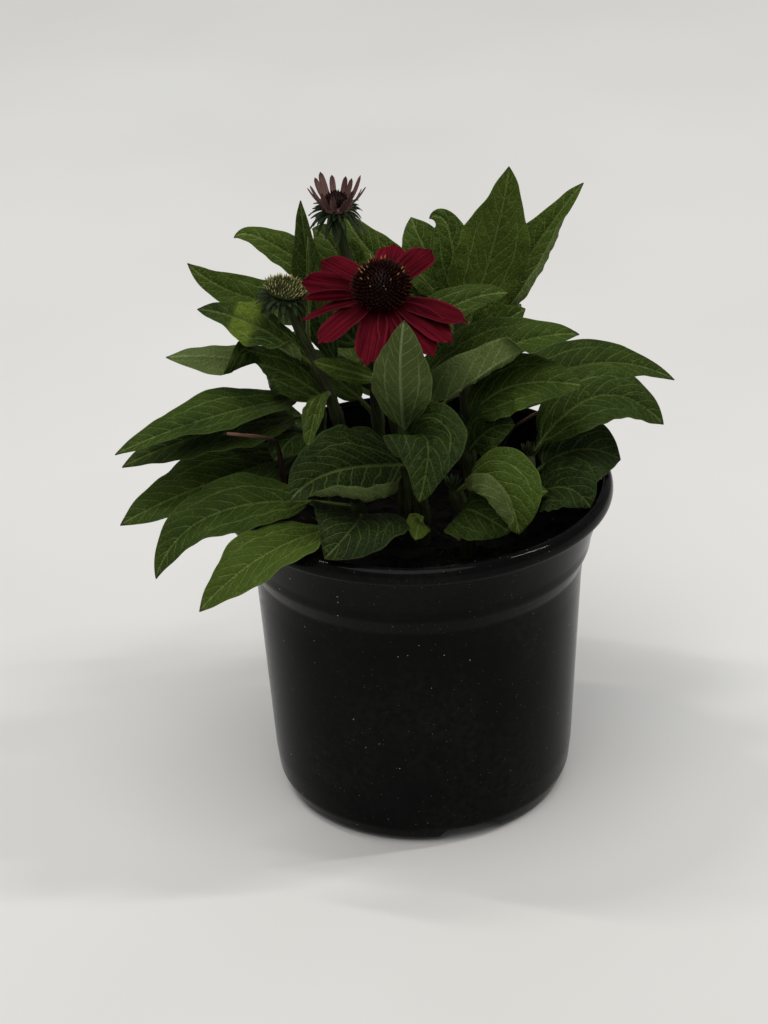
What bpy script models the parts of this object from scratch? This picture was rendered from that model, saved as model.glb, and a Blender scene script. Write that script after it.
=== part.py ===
# Purple coneflower plant in its nursery pot: three flowering stems, leafy shoots, soil and pot.
# Lengths below are in millimetres, the front of the plant looks along -Y, and Z is up.
import math
import random

import bpy
import numpy as np

MM = 0.001
UP = np.array([0.0, 0.0, 1.0])

# Pot
POT_HEIGHT = 158.0
LIP_RADIUS = 91.0
POT_SIDES = 36
FOOT_HEIGHT = 9.0
FOOT_NOTCHES = 4
NOTCH_WIDTH = 34.0
BOSS_RADIUS = 16.0
DRAIN_RADIUS = 4.5

# Soil
SOIL_TOP = 134.0
SOIL_ROUGH = 1.6
GAP = 0.3

# Leaf blades
BLADE = 0.8
RIB = 2.2
LEAF_STEPS = 6
LEAF_HALF = 2

# Bloom
BLOOM_CENTRE = (-13.0, -10.0, 254.0)
BLOOM_TILT = 21.0
RAY_LENGTH = 30.0
RAY_WIDTH = 13.0
# Each ray: heading in degrees, share of the length, droop of its tip in millimetres.
RAYS = (
    (52, 1.0, 2.6), (80, 1.0, 4.3), (137, 0.95, 1.8), (167, 0.95, -1.5), (190, 0.98, 6.0), (221, 1.0, 4.0),
    (258, 1.0, 5.5), (280, 1.0, 8.3), (304, 1.05, 5.8), (318, 1.1, 4.2), (334, 1.12, 0.4),
)
RING_OUTER = 10.5
RING_INNER = 5.6
CONE_RADIUS = 13.0
CONE_HEIGHT = 13.0
CONE_ROWS = 8
CONE_COLUMNS = 18
SPINE = 2.6

# Buds
TALL_CENTRE = (-32.0, 34.8, 277.0)
TALL_TILT = 6.0
TALL_RAYS = 13
LOW_CENTRE = (-57.0, 9.0, 248.0)
LOW_TILT = 4.0
LOW_LEAN = 14.0

# Dry stalks
STALK_RADIUS = 1.5
STALKS = {
    "dry_stalk_left": [(-60, -14, 112), (-60, -14, 150), (-62, -22, 186), (-66, -28, 194), (-84, -34, 200)],
    "dry_stalk_right": [(38, 14, 112), (38, 14, 150), (42, 12, 170), (50, 8, 180), (61, 6, 188)],
}

# Stems: points from the soil hole up, and the radius at each end.
STEMS = {
    "flower_stem": dict(
        path=[(-6, 8, 110), (-6, 8, 150), (-9, 4, 190), (-12, -5, 228), (-13, -9.5, 250)],
        radius=(3.0, 2.4),
    ),
    "tall_bud_stem": dict(
        path=[(-16, 32, 110), (-16, 32, 150), (-18, 34, 200), (-26, 36, 240), (-32, 35, 273)],
        radius=(3.0, 2.2),
    ),
    "low_bud_stem": dict(
        path=[(-28, 4, 110), (-28, 4, 150), (-36, 2, 195), (-50, 5, 229), (-55, 9, 243)],
        radius=(3.0, 2.2),
    ),
    "back_right_shoot": dict(
        path=[(26, 30, 110), (26, 30, 150), (24, 35, 200), (21, 38, 232)], radius=(3.2, 2.2)
    ),
    "right_shoot": dict(path=[(26, -2, 110), (26, -2, 150), (22, -6, 188)], radius=(3.4, 2.6)),
    "right_low_shoot": dict(path=[(48, -16, 110), (48, -16, 146), (52, -8, 172)], radius=(3.4, 2.6)),
    "left_shoot": dict(path=[(-44, 18, 110), (-44, 18, 150), (-44, 12, 198)], radius=(3.4, 2.6)),
    "front_left_shoot": dict(path=[(-26, -26, 110), (-26, -26, 146), (-28, -28, 162)], radius=(3.4, 2.8)),
    "front_shoot": dict(path=[(2, -22, 110), (2, -22, 150), (-6, -30, 206)], radius=(3.4, 2.4)),
    "front_right_shoot": dict(path=[(22, -36, 110), (22, -36, 150), (16, -38, 172)], radius=(3.4, 2.8)),
    "back_shoot": dict(path=[(0, 60, 110), (0, 60, 150), (0, 62, 178)], radius=(3.4, 2.8)),
}

# Leaves: the stem each one grows from and the height there, then where the tip ends.
# arch lifts the middle, bow swings it sideways, face is the way the upper side looks.
LEAVES = {
    "left_high": dict(
        on="left_shoot", at=194, tip=(-133, -45, 197), arch=6, bow=-2, peak=0.51,
        width=28, face=(-0.2, -0.4, 1), fold=14, stalk=0.12,
    ),
    "left_second": dict(
        on="left_shoot", at=184, tip=(-132, -30, 183), arch=9, bow=-6, peak=0.61,
        width=30, face=(-0.1, -0.5, 1), fold=8, stalk=0.14,
    ),
    "left_third": dict(
        on="left_shoot", at=166, tip=(-134, -40, 159), arch=7, bow=-5, peak=0.71,
        width=34, face=(-0.2, -0.7, 1), fold=8, stalk=0.14,
    ),
    "left_low": dict(
        on="front_left_shoot", at=157, tip=(-118, -60, 142), arch=19, bow=5,
        peak=0.8, width=32, face=(-0.4, -0.6, 1), fold=10,
    ),
    "front_bright": dict(
        on="front_left_shoot", at=148, tip=(-98, -82, 137), arch=18, bow=-10,
        peak=0.75, width=34, face=(-0.6, -0.6, 1), fold=8,
    ),
    "front_round": dict(
        on="front_shoot", at=176, tip=(-56, -66, 182), arch=8, bow=1, peak=0.74,
        width=40, face=(-0.1, -0.8, 1), fold=8, stalk=0.12,
    ),
    "front_dark": dict(
        on="front_left_shoot", at=152, tip=(-42, -80, 160), arch=11, bow=-9,
        peak=0.8, width=46, face=(0.1, -0.5, 1), fold=8,
    ),
    "front_narrow": dict(
        on="low_bud_stem", at=200, tip=(-48, -35, 192), arch=8, bow=0,
        width=12, face=(-0.5, -1, 0.6), fold=24,
    ),
    "left_flip": dict(
        on="low_bud_stem", at=190, tip=(-112, 10, 218), arch=14, bow=-3, peak=0.27,
        width=30, face=(0, -0.7, 1), fold=8, stalk=0.12,
    ),
    "left_dark": dict(
        on="left_shoot", at=172, tip=(-64, -18, 177), arch=7, bow=0,
        peak=0.5, width=26, face=(-0.2, -0.6, 1), fold=8,
    ),
    "bud_twist": dict(
        on="low_bud_stem", at=212, tip=(-96, 6, 243), arch=9, bow=-5, peak=0.48,
        width=24, face=(0, -0.8, 1), fold=8, stalk=0.1,
    ),
    "left_back": dict(
        on="tall_bud_stem", at=224, tip=(-102, 48, 248), arch=-9, bow=2, peak=0.8,
        width=22, face=(-0.2, -0.8, 1), fold=10, stalk=0.14,
    ),
    "left_far": dict(
        on="tall_bud_stem", at=226, tip=(-80, 50, 259), arch=9, bow=-1, peak=0.8,
        width=18, face=(0, -0.8, 1), fold=10, stalk=0.16,
    ),
    "bud_upright": dict(
        on="tall_bud_stem", at=206, tip=(-48, 30, 284), arch=-46, bow=-3,
        peak=0.8, width=19, face=(-0.4, -1, 0.2), fold=16,
    ),
    "bud_sliver": dict(
        on="low_bud_stem", at=222, tip=(-45, 20, 271), arch=-21, bow=-1,
        peak=0.8, width=6, face=(1, -0.4, 0), fold=10,
    ),
    "bud_back": dict(
        on="tall_bud_stem", at=222, tip=(-44, 60, 258), arch=7, bow=2,
        peak=0.6, width=24, face=(-0.2, -1, 0.6), fold=8,
    ),
    "bud_low_back": dict(
        on="tall_bud_stem", at=202, tip=(-50, 60, 222), arch=2, bow=0,
        peak=0.5, width=20, face=(0, -1, 0.6), fold=8,
    ),
    "bud_right": dict(
        on="back_right_shoot", at=210, tip=(-28, 74, 259), arch=4, bow=-9, peak=0.8,
        width=24, face=(0, -1, 0.6), fold=10, stalk=0.16,
    ),
    "centre_back": dict(
        on="back_right_shoot", at=226, tip=(2, 60, 262), arch=1, bow=-2, peak=0.54,
        width=27, face=(0, -1, 0.5), fold=8, stalk=0.1,
    ),
    "centre_curl": dict(
        on="back_right_shoot", at=222, tip=(13, 56, 268), arch=14, bow=2, peak=0.35,
        width=20, face=(0, -1, 0.5), fold=8, stalk=0.1,
    ),
    "tall_back": dict(
        on="back_right_shoot", at=208, tip=(47, 45, 291), arch=-7, bow=1, peak=0.8,
        width=36, face=(0.2, -1, 0.4), fold=8, stalk=0.1,
    ),
    "tall_right": dict(
        on="back_right_shoot", at=198, tip=(82, 60, 276), arch=2, bow=-2, peak=0.7,
        width=26, face=(-0.5, -1, 0.6), fold=16, stalk=0.1,
    ),
    "right_mid": dict(
        on="flower_stem", at=224, tip=(44, 5, 246), arch=6, bow=-1, peak=0.57,
        width=18, face=(0, -0.8, 1), fold=10, stalk=0.1,
    ),
    "right_small": dict(
        on="back_right_shoot", at=206, tip=(53, 30, 227), arch=1, bow=2, peak=0.65,
        width=20, face=(0, -1, 1), fold=12, stalk=0.1,
    ),
    "right_big": dict(
        on="flower_stem", at=186, tip=(75, -5, 229), arch=12, bow=3, peak=0.55,
        width=36, face=(-0.2, -0.6, 1), fold=12, stalk=0.08,
    ),
    "right_under": dict(
        on="right_shoot", at=184, tip=(76, -15, 208), arch=13, bow=1, peak=0.27,
        width=32, face=(0, -0.6, 1), fold=10, stalk=0.12,
    ),
    "right_long": dict(
        on="right_shoot", at=178, tip=(127, 70, 169), arch=16, bow=-10, peak=0.64,
        width=30, face=(0.1, -0.6, 1), fold=10, stalk=0.16,
    ),
    "right_lower": dict(
        on="right_low_shoot", at=168, tip=(115, 8, 176), arch=22, bow=-3, peak=0.52,
        width=32, face=(0.1, -0.6, 1), fold=10, stalk=0.14,
    ),
    "right_round": dict(
        on="right_low_shoot", at=158, tip=(95, 5, 160), arch=10, bow=-2,
        peak=0.51, width=42, face=(0, -0.6, 1), fold=8,
    ),
    "rim_right": dict(
        on="right_low_shoot", at=148, tip=(78, -32, 155), arch=10, bow=-1,
        peak=0.6, width=36, face=(0, -0.4, 1), fold=8,
    ),
    "right_tiny": dict(
        on="front_right_shoot", at=160, tip=(59, -30, 163), arch=3, bow=0,
        width=16, face=(0, -0.6, 1), fold=8,
    ),
    "front_right": dict(
        on="front_right_shoot", at=168, tip=(44, -62, 159), arch=18, bow=-1,
        peak=0.76, width=36, face=(0.3, -0.8, 1), fold=14,
    ),
    "front_under": dict(
        on="front_right_shoot", at=154, tip=(40, -62, 160), arch=11, bow=9,
        peak=0.46, width=30, face=(-0.3, -0.8, 1), fold=8,
    ),
    "right_inner": dict(
        on="right_shoot", at=170, tip=(45, -20, 192), arch=6, bow=4,
        peak=0.59, width=26, face=(0, -1, 1), fold=8,
    ),
    "centre_down": dict(
        on="front_shoot", at=190, tip=(0, -72, 182), arch=18, bow=-6, peak=0.8,
        width=36, face=(0.1, -1, 0.7), fold=16, stalk=0.1,
    ),
    "pale_upright": dict(
        on="front_shoot", at=194, tip=(-4, -61, 264), arch=-6, bow=2, peak=0.8,
        width=28, face=(0.3, 1, -0.3), fold=6, stalk=0.06,
    ),
    "pale_strip": dict(
        on="flower_stem", at=206, tip=(-44, -35, 234), arch=0, bow=0,
        width=10, face=(0, -1, 0.6), fold=8,
    ),
    "soil_yellow": dict(
        on="front_shoot", at=148, tip=(-2, -62, 158), arch=2, bow=0,
        width=12, face=(0, -1, 0.4), fold=8,
    ),
    "back_left_low": dict(
        on="back_shoot", at=152, tip=(-66, 80, 172), arch=14, bow=0,
        width=32, face=(0, 0.2, 1), fold=10,
    ),
    "back_left_high": dict(
        on="back_shoot", at=160, tip=(-60, 104, 186), arch=10, bow=0,
        width=30, face=(0, 0.3, 1), fold=10,
    ),
    "back_middle": dict(
        on="back_shoot", at=172, tip=(-8, 136, 170), arch=24, bow=0,
        width=36, face=(0, 0.4, 1), fold=12,
    ),
    "back_right": dict(
        on="back_shoot", at=160, tip=(56, 116, 190), arch=18, bow=0,
        width=32, face=(0, 0.3, 1), fold=12,
    ),
    "back_right_low": dict(
        on="back_shoot", at=150, tip=(88, 100, 156), arch=18, bow=0,
        width=32, face=(0, 0.2, 1), fold=12,
    ),
    "inner_left": dict(
        on="flower_stem", at=164, tip=(-42, -26, 180), arch=8, bow=0,
        width=20, face=(0, -0.7, 1), fold=8,
    ),
    "inner_back": dict(
        on="back_right_shoot", at=165, tip=(60, 50, 186), arch=8, bow=0,
        width=24, face=(0, -0.5, 1), fold=8,
    ),
    "inner_back_left": dict(
        on="tall_bud_stem", at=172, tip=(-62, 54, 194), arch=8, bow=0,
        width=24, face=(0, -0.4, 1), fold=8,
    ),
    "left_back_low": dict(
        on="left_shoot", at=158, tip=(-92, 44, 170), arch=12, bow=0,
        width=26, face=(0, -0.2, 1), fold=8,
    ),
}


def unit(vector):
    vector = np.asarray(vector, float)
    return vector / np.linalg.norm(vector)


def smooth(x):
    x = min(max(x, 0.0), 1.0)
    return x * x * (3.0 - 2.0 * x)


def stemPoint(stem, height):
    # The point of a stem's middle line at this height.
    path = np.array(STEMS[stem]["path"], float)
    return np.array([np.interp(height, path[:, 2], path[:, axis]) for axis in range(3)])


def midrib(leaf, steps):
    # One bent line from inside the stem to the tip.
    root = stemPoint(leaf["on"], leaf["at"])
    tip = np.array(leaf["tip"], float)
    side = unit(np.cross(tip - root, UP))
    control = root + (tip - root) * leaf.get("peak", 0.45)
    control = control + 2.0 * leaf["arch"] * UP + 2.0 * leaf["bow"] * side
    t = np.linspace(0.0, 1.0, 41)[:, None]
    line = (1 - t) ** 2 * root + 2 * t * (1 - t) * control + t**2 * tip
    run = np.concatenate([[0.0], np.cumsum(np.linalg.norm(np.diff(line, axis=0), axis=1))])
    even = np.linspace(0.0, run[-1], steps + 1)
    return np.stack([np.interp(even, run, line[:, axis]) for axis in range(3)], axis=1)


def leafSection(leaf, q, half, cells):
    # Half widths and heights of one cross-section, from the left edge to the right edge.
    fold = math.radians(leaf["fold"])
    rolls = leaf.get("roll", (0, 0))
    wave = leaf.get("wave", 1.2)
    points = {0: (0.0, 0.0, 0.0)}
    for side in (-1, 1):
        across = 0.0
        lift = 0.0
        for cell in range(1, cells + 1):
            u = (cell - 0.5) / cells
            angle = fold + math.radians(rolls[(side + 1) // 2]) * smooth((u - 0.3) / 0.7)
            across += half / cells * math.cos(angle)
            lift += half / cells * math.sin(angle)
            turns = 2 * math.pi * (2.3 * q + 0.35 * side) + leaf["phase"]
            ripple = wave * (cell / cells) ** 2 * math.sin(turns)
            ripple *= math.sin(math.pi * min(q, 1.0)) if q > 0 else 0.0
            points[side * cell] = (side * across, lift + ripple, side * angle)
    return [points[cell] for cell in range(-cells, cells + 1)]


def leafShell(leaf, steps=LEAF_STEPS, cells=LEAF_HALF):
    # A closed thin blade with its stalk: points and triangles.
    line = midrib(leaf, steps)
    tangents = np.gradient(line, axis=0)
    stalk = leaf.get("stalk", 0.22)
    face = unit(leaf["face"])
    upper = []
    lower = []
    for step in range(steps + 1):
        t = step / steps
        along = unit(tangents[step])
        normal = unit(face - along * face.dot(along))
        turn = math.radians(leaf.get("twist", 0.0)) * (t - 0.5)
        across = np.cross(along, normal)
        normal, across = (
            normal * math.cos(turn) + across * math.sin(turn),
            across * math.cos(turn) - normal * math.sin(turn),
        )
        q = (t - stalk) / (1.0 - stalk)
        shape = math.sin(math.pi * q**0.8) ** 0.9 if 0.0 < q < 1.0 else 0.0
        narrow = 1.2 if t < 0.99 else 0.5
        half = narrow + (leaf["width"] / 2 - narrow) * shape
        thick = BLADE + (RIB - BLADE) * (1.0 - smooth(q * 4.0 + 0.4))
        for x, y, angle in leafSection(leaf, q, half, cells):
            place = line[step] + across * x + normal * y
            out = normal * math.cos(angle) - across * math.sin(angle)
            upper.append(place + out * thick / 2)
            lower.append(place - out * thick / 2)
    row = 2 * cells + 1
    points = np.array(upper + lower)
    count = len(upper)
    faces = []
    for step in range(steps):
        for cell in range(2 * cells):
            a = step * row + cell
            b = a + 1
            c = a + row + 1
            d = a + row
            faces += [(a, b, c), (a, c, d)]
            faces += [(count + a, count + c, count + b), (count + a, count + d, count + c)]
    rim = [step * row for step in range(steps + 1)]
    rim += [steps * row + cell for cell in range(1, row)]
    rim += [step * row + row - 1 for step in range(steps - 1, -1, -1)]
    rim += [cell for cell in range(row - 2, 0, -1)]
    for index, a in enumerate(rim):
        b = rim[(index + 1) % len(rim)]
        faces += [(a, b, count + b), (a, count + b, count + a)]
    return points, faces


def tube(path, radii, sides=8):
    # A closed round stem along a line of points.
    path = np.array(path, float)
    tangents = np.gradient(path, axis=0)
    across = np.array([1.0, 0.0, 0.0])
    points = []
    for place, tangent, radius in zip(path, tangents, radii):
        along = unit(tangent)
        across = unit(across - along * across.dot(along))
        third = np.cross(along, across)
        for side in range(sides):
            turn = 2 * math.pi * side / sides
            points.append(place + radius * (across * math.cos(turn) + third * math.sin(turn)))
    faces = []
    for ring in range(len(path) - 1):
        for side in range(sides):
            a = ring * sides + side
            b = ring * sides + (side + 1) % sides
            faces += [(a, b, b + sides), (a, b + sides, a + sides)]
    last = (len(path) - 1) * sides
    faces.append(tuple(range(sides - 1, -1, -1)))
    faces.append(tuple(range(last, last + sides)))
    return np.array(points), faces


def stemTube(stem):
    # The stem's line is rounded by a few points between the given ones.
    path = np.array(STEMS[stem]["path"], float)
    first, last = STEMS[stem]["radius"]
    fine = [path[0]]
    for a, b in zip(path[:-1], path[1:]):
        count = 1 if b[2] < 151 else 2
        fine += [a + (b - a) * (step + 1) / count for step in range(count)]
    fine = np.array(fine)
    for index in range(2, len(fine) - 1):
        fine[index] = fine[index] * 0.6 + (fine[index - 1] + fine[index + 1]) * 0.2
    radii = first + (last - first) * np.clip((fine[:, 2] - 150) / 90, 0, 1)
    return tube(fine, radii)


def headFrame(tilt, lean):
    # Three directions of a flower head: right, back and up along its axis.
    tilt = math.radians(tilt)
    lean = math.radians(lean)
    axis = unit((math.sin(lean), -math.sin(tilt), math.cos(tilt)))
    right = unit(np.array([1.0, 0.0, 0.0]) - axis * axis[0])
    return right, np.cross(axis, right), axis


def placed(points, centre, frame):
    right, back, axis = frame
    points = np.array(points, float)
    return np.array(centre) + points[:, :1] * right + points[:, 1:2] * back + points[:, 2:] * axis


def lathe(profile, sides, inner=False):
    # A closed ring or disc from a profile of radius and height, centre points have radius 0.
    points = []
    rings = []
    for radius, height in profile:
        if radius == 0:
            rings.append([len(points)] * sides)
            points.append((0.0, 0.0, height))
            continue
        rings.append(list(range(len(points), len(points) + sides)))
        for side in range(sides):
            turn = 2 * math.pi * side / sides
            points.append((radius * math.cos(turn), radius * math.sin(turn), height))
    faces = []
    pairs = list(zip(rings[:-1], rings[1:]))
    if inner:
        pairs.append((rings[-1], rings[0]))
    for low, high in pairs:
        for side in range(sides):
            corners = [low[side], low[(side + 1) % sides], high[(side + 1) % sides], high[side]]
            corners = [c for index, c in enumerate(corners) if c != corners[index - 1]]
            if len(corners) > 2:
                faces.append(tuple(corners))
    return points, faces


def rayBlade(length, width, droop, offset, base, ribs):
    # One flower ray, pointing along +X, with rounded and notched end and lengthwise grooves.
    steps = 4
    cells = 2
    upper = []
    lower = []
    for step in range(steps + 1):
        s = step / steps
        half = width / 2 * (0.36 + 0.64 * math.sin(math.pi * min(0.5, s * 0.95)))
        if step == steps:
            half *= 0.62
        for cell in range(-cells, cells + 1):
            u = cell / cells
            reach = length * (1 - 0.05 * (1 - abs(2 * u) if abs(u) < 0.5 else 0) - 0.07 * abs(u) ** 3)
            x = base + reach * s
            rib = ribs * (0.5 if cell % 2 == 0 else -0.5) * math.sin(math.pi * s * 0.9)
            z = offset - droop * s**1.6 + rib
            upper.append((x, half * u, z + BLADE / 2))
            lower.append((x, half * u, z - BLADE / 2))
    return shellFrom(upper, lower, steps, 2 * cells)


def shellFrom(upper, lower, steps, cells):
    # Two matching grids of points joined into one closed blade.
    row = cells + 1
    count = len(upper)
    faces = []
    for step in range(steps):
        for cell in range(cells):
            a = step * row + cell
            b = a + 1
            c = a + row + 1
            d = a + row
            faces += [(a, c, b), (a, d, c)]
            faces += [(count + a, count + b, count + c), (count + a, count + c, count + d)]
    rim = [step * row for step in range(steps + 1)]
    rim += [steps * row + cell for cell in range(1, row)]
    rim += [step * row + row - 1 for step in range(steps - 1, -1, -1)]
    rim += [cell for cell in range(row - 2, 0, -1)]
    for index, a in enumerate(rim):
        b = rim[(index + 1) % len(rim)]
        faces += [(a, count + b, b), (a, count + a, count + b)]
    return np.array(upper + lower), faces


def turned(points, heading):
    turn = math.radians(heading)
    points = np.array(points, float)
    x = points[:, 0] * math.cos(turn) - points[:, 1] * math.sin(turn)
    y = points[:, 0] * math.sin(turn) + points[:, 1] * math.cos(turn)
    return np.stack([x, y, points[:, 2]], axis=1)


def slimBlade(start, reach, rise, bend, width, thick=BLADE):
    # A narrow blade along +X, used for the bracts and for the rays of the buds.
    steps = 3
    upper = []
    lower = []
    for step in range(steps + 1):
        s = step / steps
        half = width / 2 * (0.75, 1.0, 0.85, 0.3)[step]
        slope = math.atan2(rise + bend * 2 * s, reach)
        x = start[0] + reach * s
        z = start[1] + rise * s + bend * s * s
        dx = -math.sin(slope) * thick / 2
        dz = math.cos(slope) * thick / 2
        for u in (-1, 1):
            upper.append((x + dx, half * u, z + dz))
            lower.append((x - dx, half * u, z - dz))
    return shellFrom(upper, lower, steps, 1)


def spinyDome(radius, height, rows, columns, spine, low):
    # A dome covered in diamond cells, each drawn out into a short spine.
    points = []
    for row in range(rows + 1):
        rise = row / rows * 0.5 * math.pi * 0.9
        for column in range(columns):
            turn = 2 * math.pi * (column + 0.5 * (row % 2)) / columns
            reach = radius * math.cos(rise)
            points.append((reach * math.cos(turn), reach * math.sin(turn), low + height * math.sin(rise)))
    points = [np.array(point) for point in points]

    def at(row, column):
        return row * columns + column % columns

    faces = []
    for row in range(rows - 1):
        shift = row % 2
        for column in range(columns):
            bottom = at(row, column)
            left = at(row + 1, column - 1 + shift)
            right = at(row + 1, column + shift)
            top = at(row + 2, column)
            middle = (points[left] + points[right]) / 2
            out = unit(unit(middle * (1, 1, 0)) * math.cos(row / rows * 1.4) + UP * (0.35 + row / rows))
            size = min(1.0, np.linalg.norm(points[left] - points[right]) / 2.6)
            apex = len(points)
            points.append(middle + out * spine * (0.55 + 0.45 * size))
            faces += [(bottom, right, apex), (right, top, apex), (top, left, apex), (left, bottom, apex)]
    for column in range(columns):
        faces.append((at(0, column), at(0, column + 1), at(1, column)))
        shift = (rows - 1) % 2
        faces.append((at(rows - 1, column), at(rows, column + shift), at(rows, column - 1 + shift)))
    crown = len(points)
    points.append(np.array([0.0, 0.0, low + height]))
    for column in range(columns):
        faces.append((at(rows, column), at(rows, column + 1), crown))
    under = len(points)
    for column in range(columns):
        turn = 2 * math.pi * column / columns
        points.append(np.array([radius * 0.7 * math.cos(turn), radius * 0.7 * math.sin(turn), low - 0.8]))
    for column in range(columns):
        after = (column + 1) % columns
        faces.append((at(0, after), at(0, column), under + column, under + after))
    faces.append(tuple(under + column for column in range(columns - 1, -1, -1)))
    return np.array(points), faces


def solid(name, shape):
    points, faces = shape
    mesh = bpy.data.meshes.new(name)
    mesh.from_pydata([tuple(np.array(point) * MM) for point in points], [], [tuple(face) for face in faces])
    mesh.validate()
    mesh.update()
    made = bpy.data.objects.new(name, mesh)
    bpy.context.scene.collection.objects.link(made)
    return made


def material(name, colour, roughness):
    made = bpy.data.materials.new(name)
    made.use_nodes = True
    surface = made.node_tree.nodes["Principled BSDF"]
    surface.inputs["Base Color"].default_value = (*colour, 1.0)
    surface.inputs["Roughness"].default_value = roughness
    return made


def finish(made, coat, smoothAngle=50):
    made.data.materials.clear()
    made.data.materials.append(coat)
    for polygon in made.data.polygons:
        polygon.use_smooth = True
        polygon.material_index = 0
    made.data.set_sharp_from_angle(angle=math.radians(smoothAngle))


def join(name, shapes, solver="EXACT"):
    # The first solid takes in all the others by one union.
    whole = solid(name, shapes[0])
    if len(shapes) > 1:
        group = bpy.data.collections.new(name + "_pieces")
        bpy.context.scene.collection.children.link(group)
        for index, shape in enumerate(shapes[1:]):
            piece = solid(f"{name}_piece_{index}", shape)
            bpy.context.scene.collection.objects.unlink(piece)
            group.objects.link(piece)
        union = whole.modifiers.new("Union", "BOOLEAN")
        union.operation = "UNION"
        union.operand_type = "COLLECTION"
        union.collection = group
        union.solver = solver
        applied(whole)
        for piece in list(group.objects):
            bpy.data.objects.remove(piece)
        bpy.data.collections.remove(group)
    return whole


def applied(made):
    graph = bpy.context.evaluated_depsgraph_get()
    mesh = bpy.data.meshes.new_from_object(made.evaluated_get(graph))
    old = made.data
    made.modifiers.clear()
    made.data = mesh
    bpy.data.meshes.remove(old)


def cut(made, shapes):
    # Takes each of these shapes away from a body.
    for index, shape in enumerate(shapes):
        cutter = solid(f"cutter_{index}", shape)
        less = made.modifiers.new("Cut", "BOOLEAN")
        less.operation = "DIFFERENCE"
        less.object = cutter
        less.solver = "EXACT"
        applied(made)
        bpy.data.objects.remove(cutter)


def cylinder(x, y, low, high, radius, sides=16):
    points, faces = lathe([(0, low), (radius, low), (radius, high), (0, high)], sides)
    return np.array(points) + np.array([x, y, 0.0]), faces


for old in list(bpy.data.objects):
    bpy.data.objects.remove(old)

leafGreen = material("leaf_green", (0.05, 0.14, 0.03), 0.55)
raysRed = material("ray_crimson", (0.33, 0.01, 0.04), 0.5)
coneMaroon = material("cone_maroon", (0.05, 0.008, 0.008), 0.6)
budMauve = material("bud_mauve", (0.22, 0.10, 0.11), 0.6)
budYellow = material("bud_yellow", (0.25, 0.28, 0.08), 0.6)
potBlack = material("pot_black", (0.012, 0.012, 0.013), 0.3)
soilDark = material("soil_dark", (0.015, 0.011, 0.008), 0.95)
stalkBrown = material("stalk_brown", (0.16, 0.08, 0.05), 0.8)

# Pot
potProfile = [
    (0, 0), (BOSS_RADIUS, 0), (BOSS_RADIUS + 1, FOOT_HEIGHT), (55, FOOT_HEIGHT), (56.5, 0), (63.5, 0),
    (67.5, 2.6), (70.2, 9), (71.4, 20), (76.2, 108), (77.2, 118.5), (80.4, 126), (81.2, 131), (86.4, 149.6),
    (90.2, 150.2), (LIP_RADIUS, 152), (LIP_RADIUS, 155.4), (89.6, 157.4), (88, POT_HEIGHT), (86.4, POT_HEIGHT),
    (85.4, 155), (79.2, 131.5), (78.2, 126.5), (75, 119), (74, 108),
    (69.4, 20), (66, FOOT_HEIGHT + 2.2), (0, FOOT_HEIGHT + 2.2),
]
pot = solid("pot", lathe(potProfile, POT_SIDES))
notches = []
for index in range(FOOT_NOTCHES):
    heading = -73 + 360 / FOOT_NOTCHES * index
    box = []
    for x, w, z in [(52, 0.5, -1), (76, 0.5, -1), (76, 0.34, FOOT_HEIGHT - 1), (52, 0.34, FOOT_HEIGHT - 1)]:
        box += [(x, -w * NOTCH_WIDTH, z), (x, w * NOTCH_WIDTH, z)]
    sides = [(0, 1, 3, 2), (2, 3, 5, 4), (4, 5, 7, 6), (6, 7, 1, 0), (0, 2, 4, 6), (1, 7, 5, 3)]
    notches.append((turned(box, heading), sides))
for index in range(6):
    turn = math.radians(34 + 60 * index)
    x = 36 * math.cos(turn)
    y = 36 * math.sin(turn)
    notches.append(cylinder(x, y, 2, 20, DRAIN_RADIUS, 8))
cut(pot, notches)
finish(pot, potBlack, 35)

# Soil
rough = random.Random(4)
soilProfile = [
    (0, FOOT_HEIGHT + 2.6), (65.4, FOOT_HEIGHT + 2.6), (69, 20), (73.6, 108), (74.6, 119.2), (77.8, 126.7),
    (78.8, 131.4), (66, SOIL_TOP - 0.5), (34, SOIL_TOP + 1), (0, SOIL_TOP + 1),
]
soilPoints, soilFaces = lathe(soilProfile, POT_SIDES)
soilPoints = np.array(soilPoints)
for point in soilPoints:
    if point[2] > SOIL_TOP - 2 and math.hypot(point[0], point[1]) < 76:
        point[2] += rough.uniform(-SOIL_ROUGH, SOIL_ROUGH)
soil = solid("soil", (soilPoints, soilFaces))
holes = []
for stem in STEMS.values():
    x, y, low = stem["path"][0]
    holes.append(cylinder(x, y, low - GAP, SOIL_TOP + 12, stem["radius"][0] + 0.55, 10))
for stalk in STALKS.values():
    x, y, low = stalk[0]
    holes.append(cylinder(x, y, low - GAP, SOIL_TOP + 12, STALK_RADIUS + 0.5, 8))
cut(soil, holes)
finish(soil, soilDark, 60)

# Flower heads
bloomFrame = headFrame(BLOOM_TILT, 0)
tallFrame = headFrame(TALL_TILT, 2)
lowFrame = headFrame(LOW_TILT, LOW_LEAN)

rayShapes = []
ringProfile = [(RING_INNER, -1.2), (RING_OUTER, -1.2), (RING_OUTER, 0.9), (RING_INNER, 0.9)]
ringPoints, ringFaces = lathe(ringProfile, 20, True)
rayShapes.append((placed(ringPoints, BLOOM_CENTRE, bloomFrame), ringFaces))
for index, (heading, stretch, droop) in enumerate(RAYS):
    offset = -0.75 if index % 2 else 0.15
    points, faces = rayBlade(RAY_LENGTH * stretch, RAY_WIDTH, droop, offset, 7.6, 0.6)
    rayShapes.append((placed(turned(points, heading), BLOOM_CENTRE, bloomFrame), faces))
bloomRays = join("bloom_rays", rayShapes)
finish(bloomRays, raysRed)

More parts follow.
